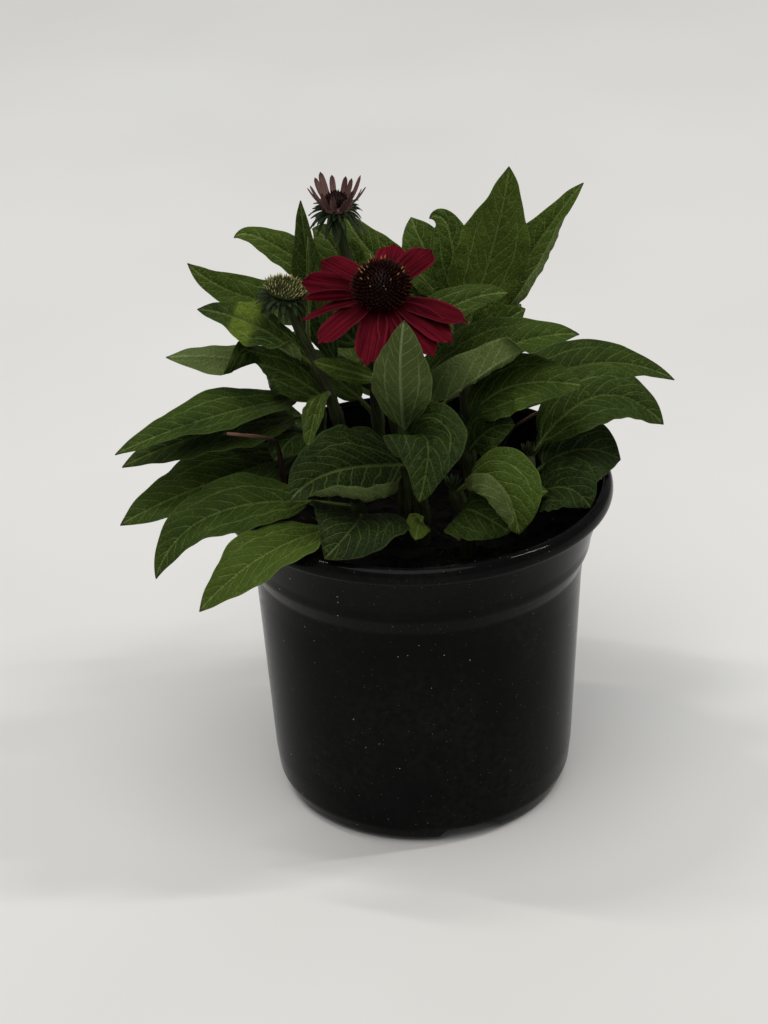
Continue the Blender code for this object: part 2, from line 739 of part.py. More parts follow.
points, faces = spinyDome(CONE_RADIUS, CONE_HEIGHT, CONE_ROWS, CONE_COLUMNS, SPINE, 2.4)
bloomCone = solid("bloom_cone", (placed(points, BLOOM_CENTRE, bloomFrame), faces))
finish(bloomCone, coneMaroon, 20)

ringPoints, ringFaces = lathe([(3.6, -0.9), (7.4, -0.9), (7.4, 0.9), (3.6, 0.9)], 16, True)
tallRays = [(placed(ringPoints, TALL_CENTRE, tallFrame), ringFaces)]
spread = random.Random(7)
for index in range(TALL_RAYS):
    heading = 360 / TALL_RAYS * index + spread.uniform(-6, 6)
    reach = spread.uniform(3.2, 5.6)
    points, faces = slimBlade((5.6, 0), reach, spread.uniform(4, 6), spread.uniform(8, 10), 2.6)
    tallRays.append((placed(turned(points, heading), TALL_CENTRE, tallFrame), faces))
tallBudRays = join("tall_bud_rays", tallRays)
finish(tallBudRays, budMauve)
points, faces = spinyDome(5.2, 4.2, 4, 12, 1.4, 2.1)
tallBudCone = solid("tall_bud_cone", (placed(points, TALL_CENTRE, tallFrame), faces))
finish(tallBudCone, coneMaroon, 20)
points, faces = spinyDome(9.4, 6.2, 6, 16, 2.0, 1.2)
lowBudCone = solid("low_bud_cone", (placed(points, LOW_CENTRE, lowFrame), faces))
finish(lowBudCone, budYellow, 20)


def bracts(count, radius, layers, centre, frame, seed):
    # The green scales under a head, in layers of start height, reach, rise and bend.
    spin = random.Random(seed)
    shapes = []
    for layer, (height, reach, rise, bend, width) in enumerate(layers):
        for index in range(count):
            heading = 360 / count * (index + 0.5 * layer) + spin.uniform(-6, 6)
            points, faces = slimBlade((radius, height), reach * spin.uniform(0.85, 1.1), rise, bend, width)
            shapes.append((placed(turned(points, heading), centre, frame), faces))
    return shapes


def receptacle(radius, low, high, centre, frame):
    middle = (low + high) / 2
    points, faces = lathe([(0, low), (2.6, low), (radius, middle), (radius * 0.96, high), (0, high)], 14)
    return placed(points, centre, frame), faces


heads = {
    "flower_stem": [receptacle(7.0, -7.0, -1.5, BLOOM_CENTRE, bloomFrame)]
    + bracts(9, 5.4, [(-3.6, 6.0, -1.0, -2.6, 2.8)], BLOOM_CENTRE, bloomFrame, 3),
    "tall_bud_stem": [receptacle(6.2, -6.4, -1.2, TALL_CENTRE, tallFrame)]
    + bracts(8, 4.8, [(-2.6, 6.4, -0.4, -3.2, 2.8), (-4.6, 5.4, -3.4, -5.2, 3.0)], TALL_CENTRE, tallFrame, 5),
    "low_bud_stem": [receptacle(7.4, -5.6, 0.1, LOW_CENTRE, lowFrame)]
    + bracts(10, 6.0, [(-1.8, 5.4, 0.4, -2.4, 2.6)], LOW_CENTRE, lowFrame, 9),
}

# Leafy stems and shoots
for index, leaf in enumerate(LEAVES.values()):
    leaf["phase"] = (index * 2.4) % (2 * math.pi)
for stem in STEMS:
    shapes = [stemTube(stem)] + heads.get(stem, [])
    shapes += [leafShell(leaf) for leaf in LEAVES.values() if leaf["on"] == stem]
    finish(join(stem, shapes), leafGreen)

# Dry stalks left from last year
for name, path in STALKS.items():
    finish(solid(name, tube(path, [STALK_RADIUS] * (len(path) - 1) + [STALK_RADIUS * 0.7], 7)), stalkBrown)
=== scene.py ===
# Potted coneflower: fine leaves, bloom, buds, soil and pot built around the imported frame.
import math
import random

import bmesh
import bpy
import numpy as np
from mathutils import Matrix, Vector, noise


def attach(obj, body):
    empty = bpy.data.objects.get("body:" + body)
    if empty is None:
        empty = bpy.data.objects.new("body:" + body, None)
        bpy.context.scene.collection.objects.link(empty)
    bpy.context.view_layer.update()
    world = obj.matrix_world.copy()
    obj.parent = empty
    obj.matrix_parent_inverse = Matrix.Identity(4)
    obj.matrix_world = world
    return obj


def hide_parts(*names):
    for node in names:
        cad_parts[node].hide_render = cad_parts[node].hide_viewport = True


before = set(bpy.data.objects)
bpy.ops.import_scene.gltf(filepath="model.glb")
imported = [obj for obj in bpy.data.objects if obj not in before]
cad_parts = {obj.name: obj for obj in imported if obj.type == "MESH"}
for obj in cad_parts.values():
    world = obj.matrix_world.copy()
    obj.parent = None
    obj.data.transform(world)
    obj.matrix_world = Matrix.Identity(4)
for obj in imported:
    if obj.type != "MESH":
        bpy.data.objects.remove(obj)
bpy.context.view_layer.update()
scene = bpy.context.scene
scene.view_settings.view_transform = "Standard"
mm = 0.001
up = np.array([0.0, 0.0, 1.0])

def link(name, data):
    made = bpy.data.objects.new(name, data)
    scene.collection.objects.link(made)
    return made


def aimed(way):
    return Vector(way).to_track_quat("-Z", "Y").to_euler()


# Camera and light, in metres
cameraSetup = {"place": (-0.01539, -1.13151, 0.74070), "pitch": 27.974, "roll": -2.053, "lens": 96.81}
camera = link("camera", bpy.data.cameras.new("camera"))
camera.data.lens = cameraSetup["lens"]
camera.matrix_world = (
    Matrix.Translation(cameraSetup["place"])
    @ Matrix.Rotation(math.radians(90 - cameraSetup["pitch"]), 4, "X")
    @ Matrix.Rotation(math.radians(cameraSetup["roll"]), 4, "Z")
)
scene.camera = camera

lampMake = {"aim": (0, 0, 0.2), "size": (0.05, 0.6), "tint": (1.0, 0.98, 0.95)}
lamps = {
    "lampLeft": {"place": (-0.85, 0.30, 1.75), "power": 8},
    "lampRight": {"place": (1.10, 0.05, 1.62), "power": 8.5},
}
for name, setup in lamps.items():
    lamp = link(name, bpy.data.lights.new(name, "AREA"))
    lamp.data.shape = "RECTANGLE"
    lamp.data.size, lamp.data.size_y = lampMake["size"]
    lamp.data.energy = setup["power"]
    lamp.data.color = lampMake["tint"]
    lamp.location = setup["place"]
    lamp.rotation_euler = aimed(Vector(lampMake["aim"]) - Vector(setup["place"]))

sky = {"power": 1.46, "spread": 50, "way": (0.10, 0.34, -1.0), "glow": 0.30, "tint": (0.93, 0.95, 0.96, 1)}
ceiling = link("ceiling", bpy.data.lights.new("ceiling", "SUN"))
ceiling.data.energy = sky["power"]
ceiling.data.angle = math.radians(sky["spread"])
ceiling.rotation_euler = aimed(sky["way"])

world = bpy.data.worlds.new("studio")
world.use_nodes = True
backdrop = world.node_tree.nodes["Background"].inputs
backdrop["Color"].default_value = sky["tint"]
backdrop["Strength"].default_value = sky["glow"]
scene.world = world
print("stage: camera and lamps")


# Numbers and lines
def unit(v):
    v = np.asarray(v, float)
    return v / np.linalg.norm(v, axis=-1, keepdims=True)


def smooth(x):
    x = np.clip(x, 0.0, 1.0)
    return x * x * (3.0 - 2.0 * x)


def bump(x, width):
    return np.exp(-((x / width) ** 2))


def grain(places, scale, seed=0.0):
    # soft noise from -1 to 1 at each place
    flat = np.asarray(places, float).reshape(-1, 3) * scale + seed
    return np.array([noise.noise(Vector(p)) for p in flat]).reshape(np.shape(places)[:-1])


# Shader work: put() adds a node to the tree on the bench, feed() gives a socket its value or link.
bench = {}


def feed(value, socket):
    if isinstance(value, bpy.types.NodeSocket):
        bench["tree"].links.new(value, socket)
    elif isinstance(value, tuple):
        socket.default_value = (*value, 1)
    else:
        socket.default_value = value


def put(kind, sockets=None, out=0, **settings):
    node = bench["tree"].nodes.new("ShaderNode" + kind)
    for key, value in settings.items():
        setattr(node, key, value)
    for key, value in (sockets or {}).items():
        feed(value, node.inputs[key])
    return node.outputs[out]


def calc(operation, a, b=0.0, c=0.0):
    return put("Math", {0: a, 1: b, 2: c}, operation=operation)


def times(a, b, added=0.0):
    return calc("MULTIPLY_ADD", a, b, added)


def less(a, b):
    return calc("SUBTRACT", a, b)


def most(a, b):
    return calc("MAXIMUM", a, b)


def ramp(value, low, high, toLow=0.0, toHigh=1.0, kind="SMOOTHSTEP"):
    sockets = {"Value": value, "From Min": low, "From Max": high, "To Min": toLow, "To Max": toHigh}
    return put("MapRange", sockets, interpolation_type=kind)


def mix(share, a, b):
    return put("Mix", {0: share, 6: a, 7: b}, 2, data_type="RGBA")


def cloud(spot, scale, detail):
    return put("TexNoise", {"Vector": spot, "Scale": scale, "Detail": detail})


def spotOf(x, y, z=0.0):
    return put("CombineXYZ", {0: x, 1: y, 2: z})


def split(name):
    # the three numbers that each point of a piece carries under this name
    cut = put("SeparateXYZ", {0: put("Attribute", out="Vector", attribute_name=name)}).node
    return cut.outputs[0], cut.outputs[1], cut.outputs[2]


def newGroup(name, inputs, outputs):
    # a node group with its inputs (name: value) and the names of its outputs
    tree = bpy.data.node_groups.new(name, "ShaderNodeTree")
    bench["tree"] = tree
    for socket, value in inputs.items():
        made = tree.interface.new_socket(socket, in_out="INPUT", socket_type="NodeSocketFloat")
        made.default_value = value
    for socket in outputs:
        tree.interface.new_socket(socket, in_out="OUTPUT", socket_type="NodeSocketFloat")
    return tree, tree.nodes.new("NodeGroupInput").outputs, tree.nodes.new("NodeGroupOutput").inputs


def useGroup(group, **values):
    node = bench["tree"].nodes.new("ShaderNodeGroup")
    node.node_tree = group
    for key, value in values.items():
        node.inputs[key].default_value = value
    return node.outputs


def newMaterial(name):
    made = bpy.data.materials.new(name)
    made.use_nodes = True
    bench["tree"] = made.node_tree
    return made, made.node_tree.nodes["Principled BSDF"]


def coat(skin, colour, roughness, level, height, relief, depth):
    # colour, gloss and relief of a skin
    raised = put("Bump", {"Height": height, "Strength": relief, "Distance": depth})
    values = {"Base Color": colour, "Roughness": roughness, "Specular IOR Level": level, "Normal": raised}
    for key, value in values.items():
        feed(value, skin.inputs[key])
    return raised


def letThrough(skin, share, colour, raised):
    # part of the light passes through a thin blade
    glow = put("BsdfTranslucent", {"Color": colour, "Normal": raised})
    both = put("MixShader", {0: share, 1: skin.outputs[0], 2: glow})
    feed(both, bench["tree"].nodes["Material Output"].inputs[0])


# The veins are laid out in millimetres on the blade: x across, y along, w the half width, t from base to tip.
veins = {
    "spacing": 7.5,    # between side veins
    "slope": 1.15,     # how far forward a side vein runs for each millimetre outwards
    "sweep": 0.75,     # how much it bends forward near the margin
    "nerve": 0.40,     # the long nerve's place across the half blade
    "nerveDrift": 0.34,
    "net": 0.62,       # cells of the fine net per millimetre
}


def veinGroup():
    # masks of the midrib and long nerves, the side veins, the fine net and the margin
    tree, _, out = newGroup("bladeVeins", {}, ["Main", "Side", "Net", "Edge"])
    x, y, w = split("at")
    tint, _, t = split("mark")
    ax = calc("ABSOLUTE", x)
    share = calc("DIVIDE", ax, most(w, 0.2))
    spot = spotOf(x, y, times(tint, 40.0))
    shift = times(less(cloud(spot, 0.16, 1.0), 0.5), 4.0)
    rib = ramp(ax, times(t, -0.2, 0.5), times(t, -0.5, 1.1), 1.0, 0.0)
    place = times(t, veins["nerveDrift"], veins["nerve"])
    away = times(calc("ABSOLUTE", less(share, place)), w)
    nerve = ramp(times(shift, 0.1, away), 0.12, 0.46, 0.8, 0.0)
    ahead = times(ax, times(share, veins["sweep"], veins["slope"]))
    row = calc("FRACT", calc("DIVIDE", calc("ADD", less(y, ahead), shift), veins["spacing"]))
    gap = times(calc("ABSOLUTE", less(row, 0.5)), veins["spacing"] * 0.65)
    cells = put("TexVoronoi", {"Vector": spot, "Scale": veins["net"]}, feature="DISTANCE_TO_EDGE")
    feed(most(rib, times(nerve, ramp(t, 0.55, 0.85, 1.0, 0.0))), out["Main"])
    feed(times(ramp(gap, 0.10, 0.42, 1.0, 0.0), ramp(share, 0.75, 1.0, 1.0, 0.2)), out["Side"])
    feed(ramp(cells, 0.02, 0.13, 1.0, 0.0), out["Net"])
    feed(ramp(share, 0.93, 0.99), out["Edge"])
    return tree


def blotchGroup():
    # broad and fine unevenness of a grown or dirty surface, and sparse small spots
    inputs = {"Scale": 60.0, "SpotScale": 420.0, "SpotSize": 0.12}
    tree, given, out = newGroup("blotches", inputs, ["Broad", "Fine", "Spots"])
    spot = put("TexCoord", out="Object")
    broad = cloud(spot, given["Scale"], 3.0)
    fine = cloud(spot, times(given["Scale"], 14.0), 4.0)
    cells = put("TexVoronoi", {"Vector": spot, "Scale": given["SpotScale"]}).node
    size = times(given["SpotSize"], put("SeparateXYZ", {0: cells.outputs["Color"]}))
    feed(ramp(broad, 0.3, 0.7), out["Broad"])
    feed(ramp(fine, 0.25, 0.75), out["Fine"])
    feed(calc("LESS_THAN", cells.outputs["Distance"], size), out["Spots"])
    return tree


def grooveGroup():
    # lengthwise streaks of a stem, ray or stalk: x runs round or across in millimetres, y along
    tree, given, out = newGroup("lengthGrooves", {"Pitch": 1.0, "Stretch": 0.08}, ["Lines"])
    x, y, _ = split("at")
    tint, _, _ = split("mark")
    spot = spotOf(calc("DIVIDE", x, given["Pitch"]), times(y, given["Stretch"]), times(tint, 30.0))
    feed(ramp(cloud(spot, 1.0, 2.0), 0.33, 0.67), out["Lines"])
    return tree


veinsNode = veinGroup()
blotchNode = blotchGroup()
grooveNode = grooveGroup()

# Blade colours: painted shade, the upper side's dark colour and its fresh and lit colour, its painted bright
# light, underside, veins, and the browned tip
leafColours = {
    "shade": (0.003, 0.007, 0.001), "deep": (0.009, 0.023, 0.002), "freshAndLit": (0.046, 0.080, 0.006),
    "bright": (0.115, 0.170, 0.012), "under": (0.105, 0.145, 0.040), "vein": (0.190, 0.250, 0.070),
    "rib": (0.300, 0.370, 0.150), "tip": (0.022, 0.014, 0.008),
}


def bladeMaterial(name, colours, roughness, through, relief):
    made, skin = newMaterial(name)
    tint, side, t = split("mark")
    lines = useGroup(veinsNode)
    marks = useGroup(blotchNode, Scale=45.0, SpotScale=380.0, SpotSize=0.16)
    # painted light: the leaf's tint, broad blotches and a rise towards the tip set how lit the upper side is
    # painted; a tint above 0.5 turns it to the bright colour
    light = times(less(marks["Broad"], 0.5), 0.5, ramp(tint, 0.0, 0.5, 0.0, 0.95, "LINEAR"))
    light = times(t, 0.18, light)
    upper = mix(light, colours["deep"], colours["freshAndLit"])
    upper = mix(ramp(tint, 0.5, 1.0, 0.0, 1.0, "LINEAR"), upper, colours["bright"])
    upper = mix(times(less(1.0, marks["Fine"]), 0.22), upper, colours["deep"])
    lower = mix(times(marks["Broad"], 0.35), colours["under"], colours["freshAndLit"])
    ground = mix(side, upper, lower)
    # painted shade: a tint below 0 turns the leaf to the shade colour
    ground = mix(ramp(tint, -0.3, 0.0, 0.8, 0.0, "LINEAR"), ground, colours["shade"])
    share = most(times(lines["Main"], 0.85), times(lines["Side"], 0.66))
    share = most(share, times(lines["Net"], times(side, -0.12, 0.22)))
    # the margin is painted lighter as painted rim light, and veins and margin show more where the leaf is
    # painted lit
    share = times(most(share, times(lines["Edge"], 0.3)), times(light, 0.45, 0.42))
    veined = mix(share, ground, mix(side, colours["vein"], colours["rib"]))
    burnt = most(times(ramp(t, 0.965, 1.0), 0.85), times(marks["Spots"], 0.35))
    colour = mix(burnt, veined, colours["tip"])
    height = times(lines["Net"], -0.5, times(lines["Side"], -0.6))
    height = times(marks["Fine"], 0.5, height)
    raised = coat(skin, colour, times(marks["Fine"], 0.16, roughness), 0.09, height, relief, 0.0007)
    letThrough(skin, through, mix(0.35, colour, colours["bright"]), raised)
    return made


def grownMaterial(name, low, high, tipColour, roughness, pitch, relief, tipFrom=0.6, tipShare=1.0):
    # stems, buds, spines: streaked along, and turning to another colour towards the tip
    made, skin = newMaterial(name)
    tint, _, t = split("mark")
    lines = useGroup(grooveNode, Pitch=pitch, Stretch=0.06)
    marks = useGroup(blotchNode, Scale=90.0, SpotScale=700.0, SpotSize=0.2)
    # the streaks and blotches mix the shaded and lit colour: painted shade and painted light along the
    # streaks, with blotches of tone
    ground = mix(times(lines["Lines"], 0.65, times(marks["Broad"], 0.35)), low, high)
    ground = mix(times(ramp(t, tipFrom, 1.0), times(tint, tipShare)), ground, tipColour)
    ground = mix(times(marks["Spots"], 0.4), ground, low)
    height = times(lines["Lines"], 0.8, times(marks["Fine"], 0.3))
    coat(skin, ground, times(marks["Fine"], 0.2, roughness), 0.14, height, relief, 0.0004)
    return made


def rayMaterial():
    made, skin = newMaterial("rayCrimson")
    x, _, w = split("at")
    _, side, t = split("mark")
    lines = useGroup(grooveNode, Pitch=0.75, Stretch=0.035)
    marks = useGroup(blotchNode, Scale=70.0, SpotScale=600.0, SpotSize=0.1)
    share = calc("DIVIDE", calc("ABSOLUTE", x), most(w, 0.2))
    # the ray is painted darker towards its base, painted shade under the cone; streaks and blotches vary its
    # tone
    light = times(lines["Lines"], 0.55, times(marks["Broad"], 0.3))
    colour = mix(times(light, ramp(t, 0.12, 0.6)), (0.034, 0.0008, 0.0028), (0.160, 0.006, 0.016))
    colour = mix(times(ramp(share, 0.8, 1.0), 0.5), colour, (0.19, 0.014, 0.028))
    colour = mix(times(side, 0.55), colour, (0.14, 0.03, 0.04))
    height = times(marks["Fine"], 0.2, lines["Lines"])
    raised = coat(skin, colour, times(marks["Fine"], 0.15, 0.6), 0.03, height, 0.3, 0.0004)
    letThrough(skin, 0.2, colour, raised)
    return made


def potMaterial(name, gloss, level, relief, scratchesAndHighlight):
    made, skin = newMaterial(name)
    x, y, _ = split("at")
    dust = useGroup(blotchNode, Scale=22.0, SpotScale=190.0, SpotSize=0.07)
    bits = useGroup(blotchNode, Scale=22.0, SpotScale=520.0, SpotSize=0.09)
    streaks = cloud(spotOf(times(x, 0.035), times(y, 1.6)), 1.0, 5.0)
    rubs = cloud(spotOf(times(x, 0.25), times(y, 0.03)), 1.0, 3.0)
    film = times(dust["Broad"], dust["Fine"])
    specks = most(dust["Spots"], times(bits["Spots"], 0.5))
    colour = mix(times(film, 0.10), (0.0028, 0.0028, 0.0029), (0.06, 0.057, 0.05))
    # light grey streaks: scratches, and on the lip mostly painted highlight
    colour = mix(times(ramp(streaks, 0.56, 0.75), scratchesAndHighlight), colour, (0.25, 0.25, 0.24))
    colour = mix(times(specks, 0.55), colour, (0.5, 0.49, 0.45))
    rough = times(times(film, 0.10, times(streaks, 0.10, 0.11)), gloss)
    height = times(streaks, 0.6, times(rubs, 0.5))
    coat(skin, colour, rough, level, times(dust["Spots"], 1.2, height), relief, 0.0005)
    return made


def soilMaterial():
    made, skin = newMaterial("soilCrumb")
    tint, _, _ = split("mark")
    marks = useGroup(blotchNode, Scale=130.0, SpotScale=300.0, SpotSize=0.18)
    colour = mix(marks["Fine"], (0.0008, 0.0006, 0.0005), (0.006, 0.0042, 0.003))
    colour = mix(times(marks["Broad"], 0.5), colour, (0.004, 0.003, 0.002))
    colour = mix(times(marks["Spots"], 0.5), colour, (0.04, 0.028, 0.02))
    colour = mix(tint, colour, (0.16, 0.115, 0.075))
    height = times(marks["Broad"], 0.6, marks["Fine"])
    coat(skin, colour, times(marks["Fine"], 0.2, 0.75), 0.12, height, 0.9, 0.0012)
    return made


def floorMaterial():
    made, skin = newMaterial("floorPale")
    shade = ramp(cloud(put("TexCoord", out="Object"), 2.2, 3.0), 0.3, 0.75)
    feed(mix(shade, (0.74, 0.735, 0.72), (0.69, 0.675, 0.645)), skin.inputs["Base Color"])
    feed(0.6, skin.inputs["Roughness"])
    feed(0.3, skin.inputs["Specular IOR Level"])
    return made


# Grown skins: shaded, lit and tip colour, roughness, width of the streaks, relief, and for some
# the share of the length where the tip colour starts and how strong it is
grownSkins = {
    "bractSkin": ((0.007, 0.014, 0.004), (0.030, 0.048, 0.014), (0.03, 0.03, 0.02), 0.6, 0.5, 0.5),
    "stemSkin": ((0.012, 0.009, 0.005), (0.042, 0.058, 0.016), (0.035, 0.05, 0.016), 0.55, 0.7, 0.6),
    "bristle": ((0.08, 0.10, 0.06), (0.16, 0.19, 0.12), (0.28, 0.30, 0.22), 0.6, 0.5, 0.1),
    "coneSkin": ((0.004, 0.001, 0.001), (0.016, 0.003, 0.003), (0.17, 0.030, 0.008), 0.45, 0.4, 0.3, 0.62),
    "goldTips": ((0.22, 0.07, 0.02), (0.50, 0.26, 0.08), (0.8, 0.55, 0.3), 0.6, 0.5, 0.2),
    "budGreen": ((0.014, 0.018, 0.005), (0.055, 0.060, 0.015), (0.62, 0.60, 0.24), 0.5, 0.5, 0.3, 0.3, 1.3),
    "budMauve": ((0.065, 0.028, 0.026), (0.19, 0.105, 0.092), (0.06, 0.026, 0.028), 0.6, 0.45, 0.6, 0.8),
    "stalkBrown": ((0.008, 0.005, 0.003), (0.04, 0.022, 0.016), (0.2, 0.1, 0.075), 0.8, 0.6, 0.9, 0.76, 1.4),
}
leafSkin = bladeMaterial("leafSkin", leafColours, 0.42, 0.16, 0.8)
grown = {name: grownMaterial(name, *row) for name, row in grownSkins.items()}
rayCrimson = rayMaterial()
potPlastic = potMaterial("potPlastic", 1.0, 0.045, 0.22, 0.06)
# on the lip the light grey streaks are stronger: painted highlight as well as scratches
lipPlastic = potMaterial("lipPlastic", 0.3, 0.06, 0.9, 0.18)
soilCrumb = soilMaterial()
floorPale = floorMaterial()
print("stage: materials")


# A basket gathers the points, faces and blade coordinates of one piece before it becomes a mesh.
def newBasket():
    return {"points": [], "faces": [], "kinds": [], "at": [], "mark": [], "count": 0}


def drop(basket, points, faces, kind, at, mark):
    points = np.asarray(points, float).reshape(-1, 3)
    start = basket["count"]
    basket["points"].append(points)
    basket["faces"] += [tuple(start + corner for corner in face) for face in faces]
    basket["kinds"] += [kind] * len(faces)
    basket["at"].append(np.broadcast_to(np.asarray(at, float).reshape(-1, 3), points.shape))
    basket["mark"].append(np.broadcast_to(np.asarray(mark, float).reshape(-1, 3), points.shape))
    basket["count"] += len(points)


def makePiece(name, basket, skins, nodes, sharp=60):
    mesh = bpy.data.meshes.new(name)
    mesh.from_pydata((np.concatenate(basket["points"]) * mm).tolist(), [], basket["faces"])
    for label in ("at", "mark"):
        values = np.concatenate(basket[label]).astype(np.float32).ravel()
        mesh.attributes.new(label, "FLOAT_VECTOR", "POINT").data.foreach_set("vector", values)
    for skin in skins:
        mesh.materials.append(skin)
    mesh.polygons.foreach_set("material_index", basket["kinds"])
    mesh.polygons.foreach_set("use_smooth", [True] * len(mesh.polygons))
    mesh.set_sharp_from_angle(angle=math.radians(sharp))
    mesh.update()
    piece = link(name, mesh)
    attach(piece, "root")
    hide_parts(*nodes)
    return piece


def marked(t, tint, side=0.0):
    # what the materials read at each point: tint, upper or under side, share of the length
    return np.stack([t * 0 + tint, t * 0 + side, t], 1)


def shell(upper, lower):
    # two matching grids of points closed into one thin blade, its faces turned outwards
    rows, columns = upper.shape[:2]
    count = rows * columns
    index = np.arange(count).reshape(rows, columns)
    a, b, c, d = (part.ravel() for part in (index[:-1, :-1], index[:-1, 1:], index[1:, 1:], index[1:, :-1]))
    faces = np.stack([a, b, c, d], 1).tolist() + (np.stack([a, d, c, b], 1) + count).tolist()
    rim = np.concatenate([index[:, 0], index[-1, 1:], index[-2::-1, -1], index[0, -2:0:-1]])
    after = np.roll(rim, -1)
    faces += np.stack([rim, after, after + count, rim + count], 1)[:, ::-1].tolist()
    points = np.concatenate([upper.reshape(-1, 3), lower.reshape(-1, 3)])
    corners = points[np.array(faces)] - points.mean(0)
    tilts = np.cross(corners[:, 1] - corners[:, 0], corners[:, 2] - corners[:, 0])
    if np.einsum("ij,ij->i", corners[:, 0], tilts).sum() < 0:
        faces = [face[::-1] for face in faces]
    return points, faces


def surfaceNormals(grid):
    along = np.gradient(grid, axis=0)
    across = np.gradient(grid, axis=1)
    return unit(np.cross(across, along) + 1e-9)


def reachOf(points):
    # how far along the line each of its points lies
    return np.concatenate([[0.0], np.cumsum(np.linalg.norm(np.diff(points, axis=0), axis=1))])


def ringPoints(centre, radius, turns, side, third):
    way = np.cos(turns)[:, None] * side + np.sin(turns)[:, None] * third
    return centre + np.reshape(radius, (-1, 1)) * way


def ringFaces(rings, sides):
    faces = []
    for ring in range(rings - 1):
        for k in range(sides):
            a, b = ring * sides + k, ring * sides + (k + 1) % sides
            faces.append((a, b, b + sides, a + sides))
    return faces


def thinBlade(grid, out, body, half, u, share, length):
    # a grid thickened to both sides: points, faces, what the veins need, share of the length
    points, faces = shell(grid + out * body[..., None], grid - out * body[..., None])
    at = np.stack([half * u, share * length, half + 0 * u], -1).reshape(-1, 3)
    return points, faces, np.concatenate([at, at]), np.tile(share.ravel(), 2)


def tubeShape(path, radii, sides, ribs=0, depth=0.0):
    # a closed round stem along a line of points, with lengthwise ribs
    path = np.array(path, float)
    tangents = unit(np.gradient(path, axis=0))
    side = np.array([1.0, 0.0, 0.0])
    turns = np.arange(sides) * 2 * math.pi / sides
    around = np.minimum(turns, 2 * math.pi - turns)
    run = reachOf(path)
    points, at = [], []
    for place, along, radius, reach in zip(path, tangents, radii, run):
        side = unit(side - along * side.dot(along))
        wide = radius * (1 + depth * np.cos(ribs * turns))
        points.append(ringPoints(place, wide, turns, side, np.cross(along, side)))
        at.append(np.stack([around * radius, turns * 0 + reach, turns * 0 + radius], 1))
    last = (len(path) - 1) * sides
    ends = [tuple(range(sides - 1, -1, -1)), tuple(range(last, last + sides))]
    t = np.repeat(run / run[-1], sides)
    return np.concatenate(points), ringFaces(len(path), sides) + ends, np.concatenate(at), t


def evenLine(points, steps):
    # the same bent line with evenly spaced points
    run = reachOf(points)
    even = np.linspace(0.0, run[-1], steps + 1)
    return np.stack([np.interp(even, run, points[:, axis]) for axis in range(3)], axis=1)


def curvedLine(points, steps):
    # a smooth line through a few given points
    points = np.array(points, float)
    ends = np.concatenate([[2 * points[0] - points[1]], points, [2 * points[-1] - points[-2]]])
    fine = []
    for k in range(len(points) - 1):
        p, q, r, s = ends[k:k + 4]
        f = np.linspace(0, 1, 12, endpoint=False)[:, None]
        fine.append(q + 0.5 * f * (r - p + f * (2 * p - 5 * q + 4 * r - s + f * (3 * (q - r) + s - p))))
    return evenLine(np.concatenate(fine + [points[-1:]]), steps)


def spike(basket, root, way, length, width, kind, tint, sides=5, bend=0.0, rings=3):
    # a slim pointed spine, floret or bristle
    way = unit(way)
    side = unit(np.cross(way, up + 0.01))
    third = np.cross(way, side)
    turns = np.arange(sides) * 2 * math.pi / sides
    points, t = [], []
    for ring in range(rings):
        f = ring / rings
        centre = root + way * length * f + up * bend * f * f
        points.append(ringPoints(centre, width / 2 * (1 - 0.75 * f ** 1.5), turns, side, third))
        t += [f] * sides
    points = np.concatenate(points + [(root + way * length + up * bend)[None]])
    t = np.array(t + [1.0])
    last = (rings - 1) * sides
    faces = [tuple(range(sides - 1, -1, -1))] + ringFaces(rings, sides)
    faces += [(last + k, last + (k + 1) % sides, rings * sides) for k in range(sides)]
    drop(basket, points, faces, kind, np.stack([t * 0, t * length, t * 0 + width], 1), marked(t, tint))


def lathe(profile, sides, closed=False):
    # a turned body: profile of (radius, height), radius 0 on the axis
    turns = [2 * math.pi * k / sides for k in range(sides)]
    points, rings, faces = [], [], []
    for radius, height in profile:
        if radius < 1e-6:
            rings.append([len(points)] * sides)
            points.append((0.0, 0.0, height))
            continue
        rings.append(list(range(len(points), len(points) + sides)))
        points += [(radius * math.cos(turn), radius * math.sin(turn), height) for turn in turns]
    pairs = list(zip(rings[:-1], rings[1:])) + ([(rings[-1], rings[0])] if closed else [])
    for low, high in pairs:
        for k in range(sides):
            corners = [low[k], low[(k + 1) % sides], high[(k + 1) % sides], high[k]]
            corners = [c for i, c in enumerate(corners) if c != corners[i - 1]]
            if len(corners) > 2:
                faces.append(tuple(corners))
    return np.array(points), faces


def rounded(profile, reach):
    # each corner of a profile is eased by a small curve
    profile = [np.array(p, float) for p in profile]
    eased = [profile[0]]
    for before, corner, after in zip(profile[:-2], profile[1:-1], profile[2:]):
        first = corner + (before - corner) * min(0.45, reach / max(np.linalg.norm(before - corner), 1e-6))
        last = corner + (after - corner) * min(0.45, reach / max(np.linalg.norm(after - corner), 1e-6))
        for f in (0.0, 0.33, 0.67, 1.0):
            eased.append((1 - f) ** 2 * first + 2 * f * (1 - f) * corner + f * f * last)
    return eased + [profile[-1]]


def turned(points, heading):
    turn = math.radians(heading)
    points = np.asarray(points, float)
    x = points[..., 0] * math.cos(turn) - points[..., 1] * math.sin(turn)
    y = points[..., 0] * math.sin(turn) + points[..., 1] * math.cos(turn)
    return np.stack([x, y, points[..., 2]], axis=-1)


def headFrame(tilt, lean):
    # right, back and along the axis of a flower head
    tilt, lean = math.radians(tilt), math.radians(lean)
    axis = unit((math.sin(lean), -math.sin(tilt), math.cos(tilt)))
    right = unit(np.array([1.0, 0.0, 0.0]) - axis * axis[0])
    return right, np.cross(axis, right), axis


def placed(points, head):
    # points of a head, laid out round its own axis, moved to where the head stands
    centre, (right, back, axis) = head
    points = np.asarray(points, float)
    return np.array(centre) + points[..., :1] * right + points[..., 1:2] * back + points[..., 2:] * axis


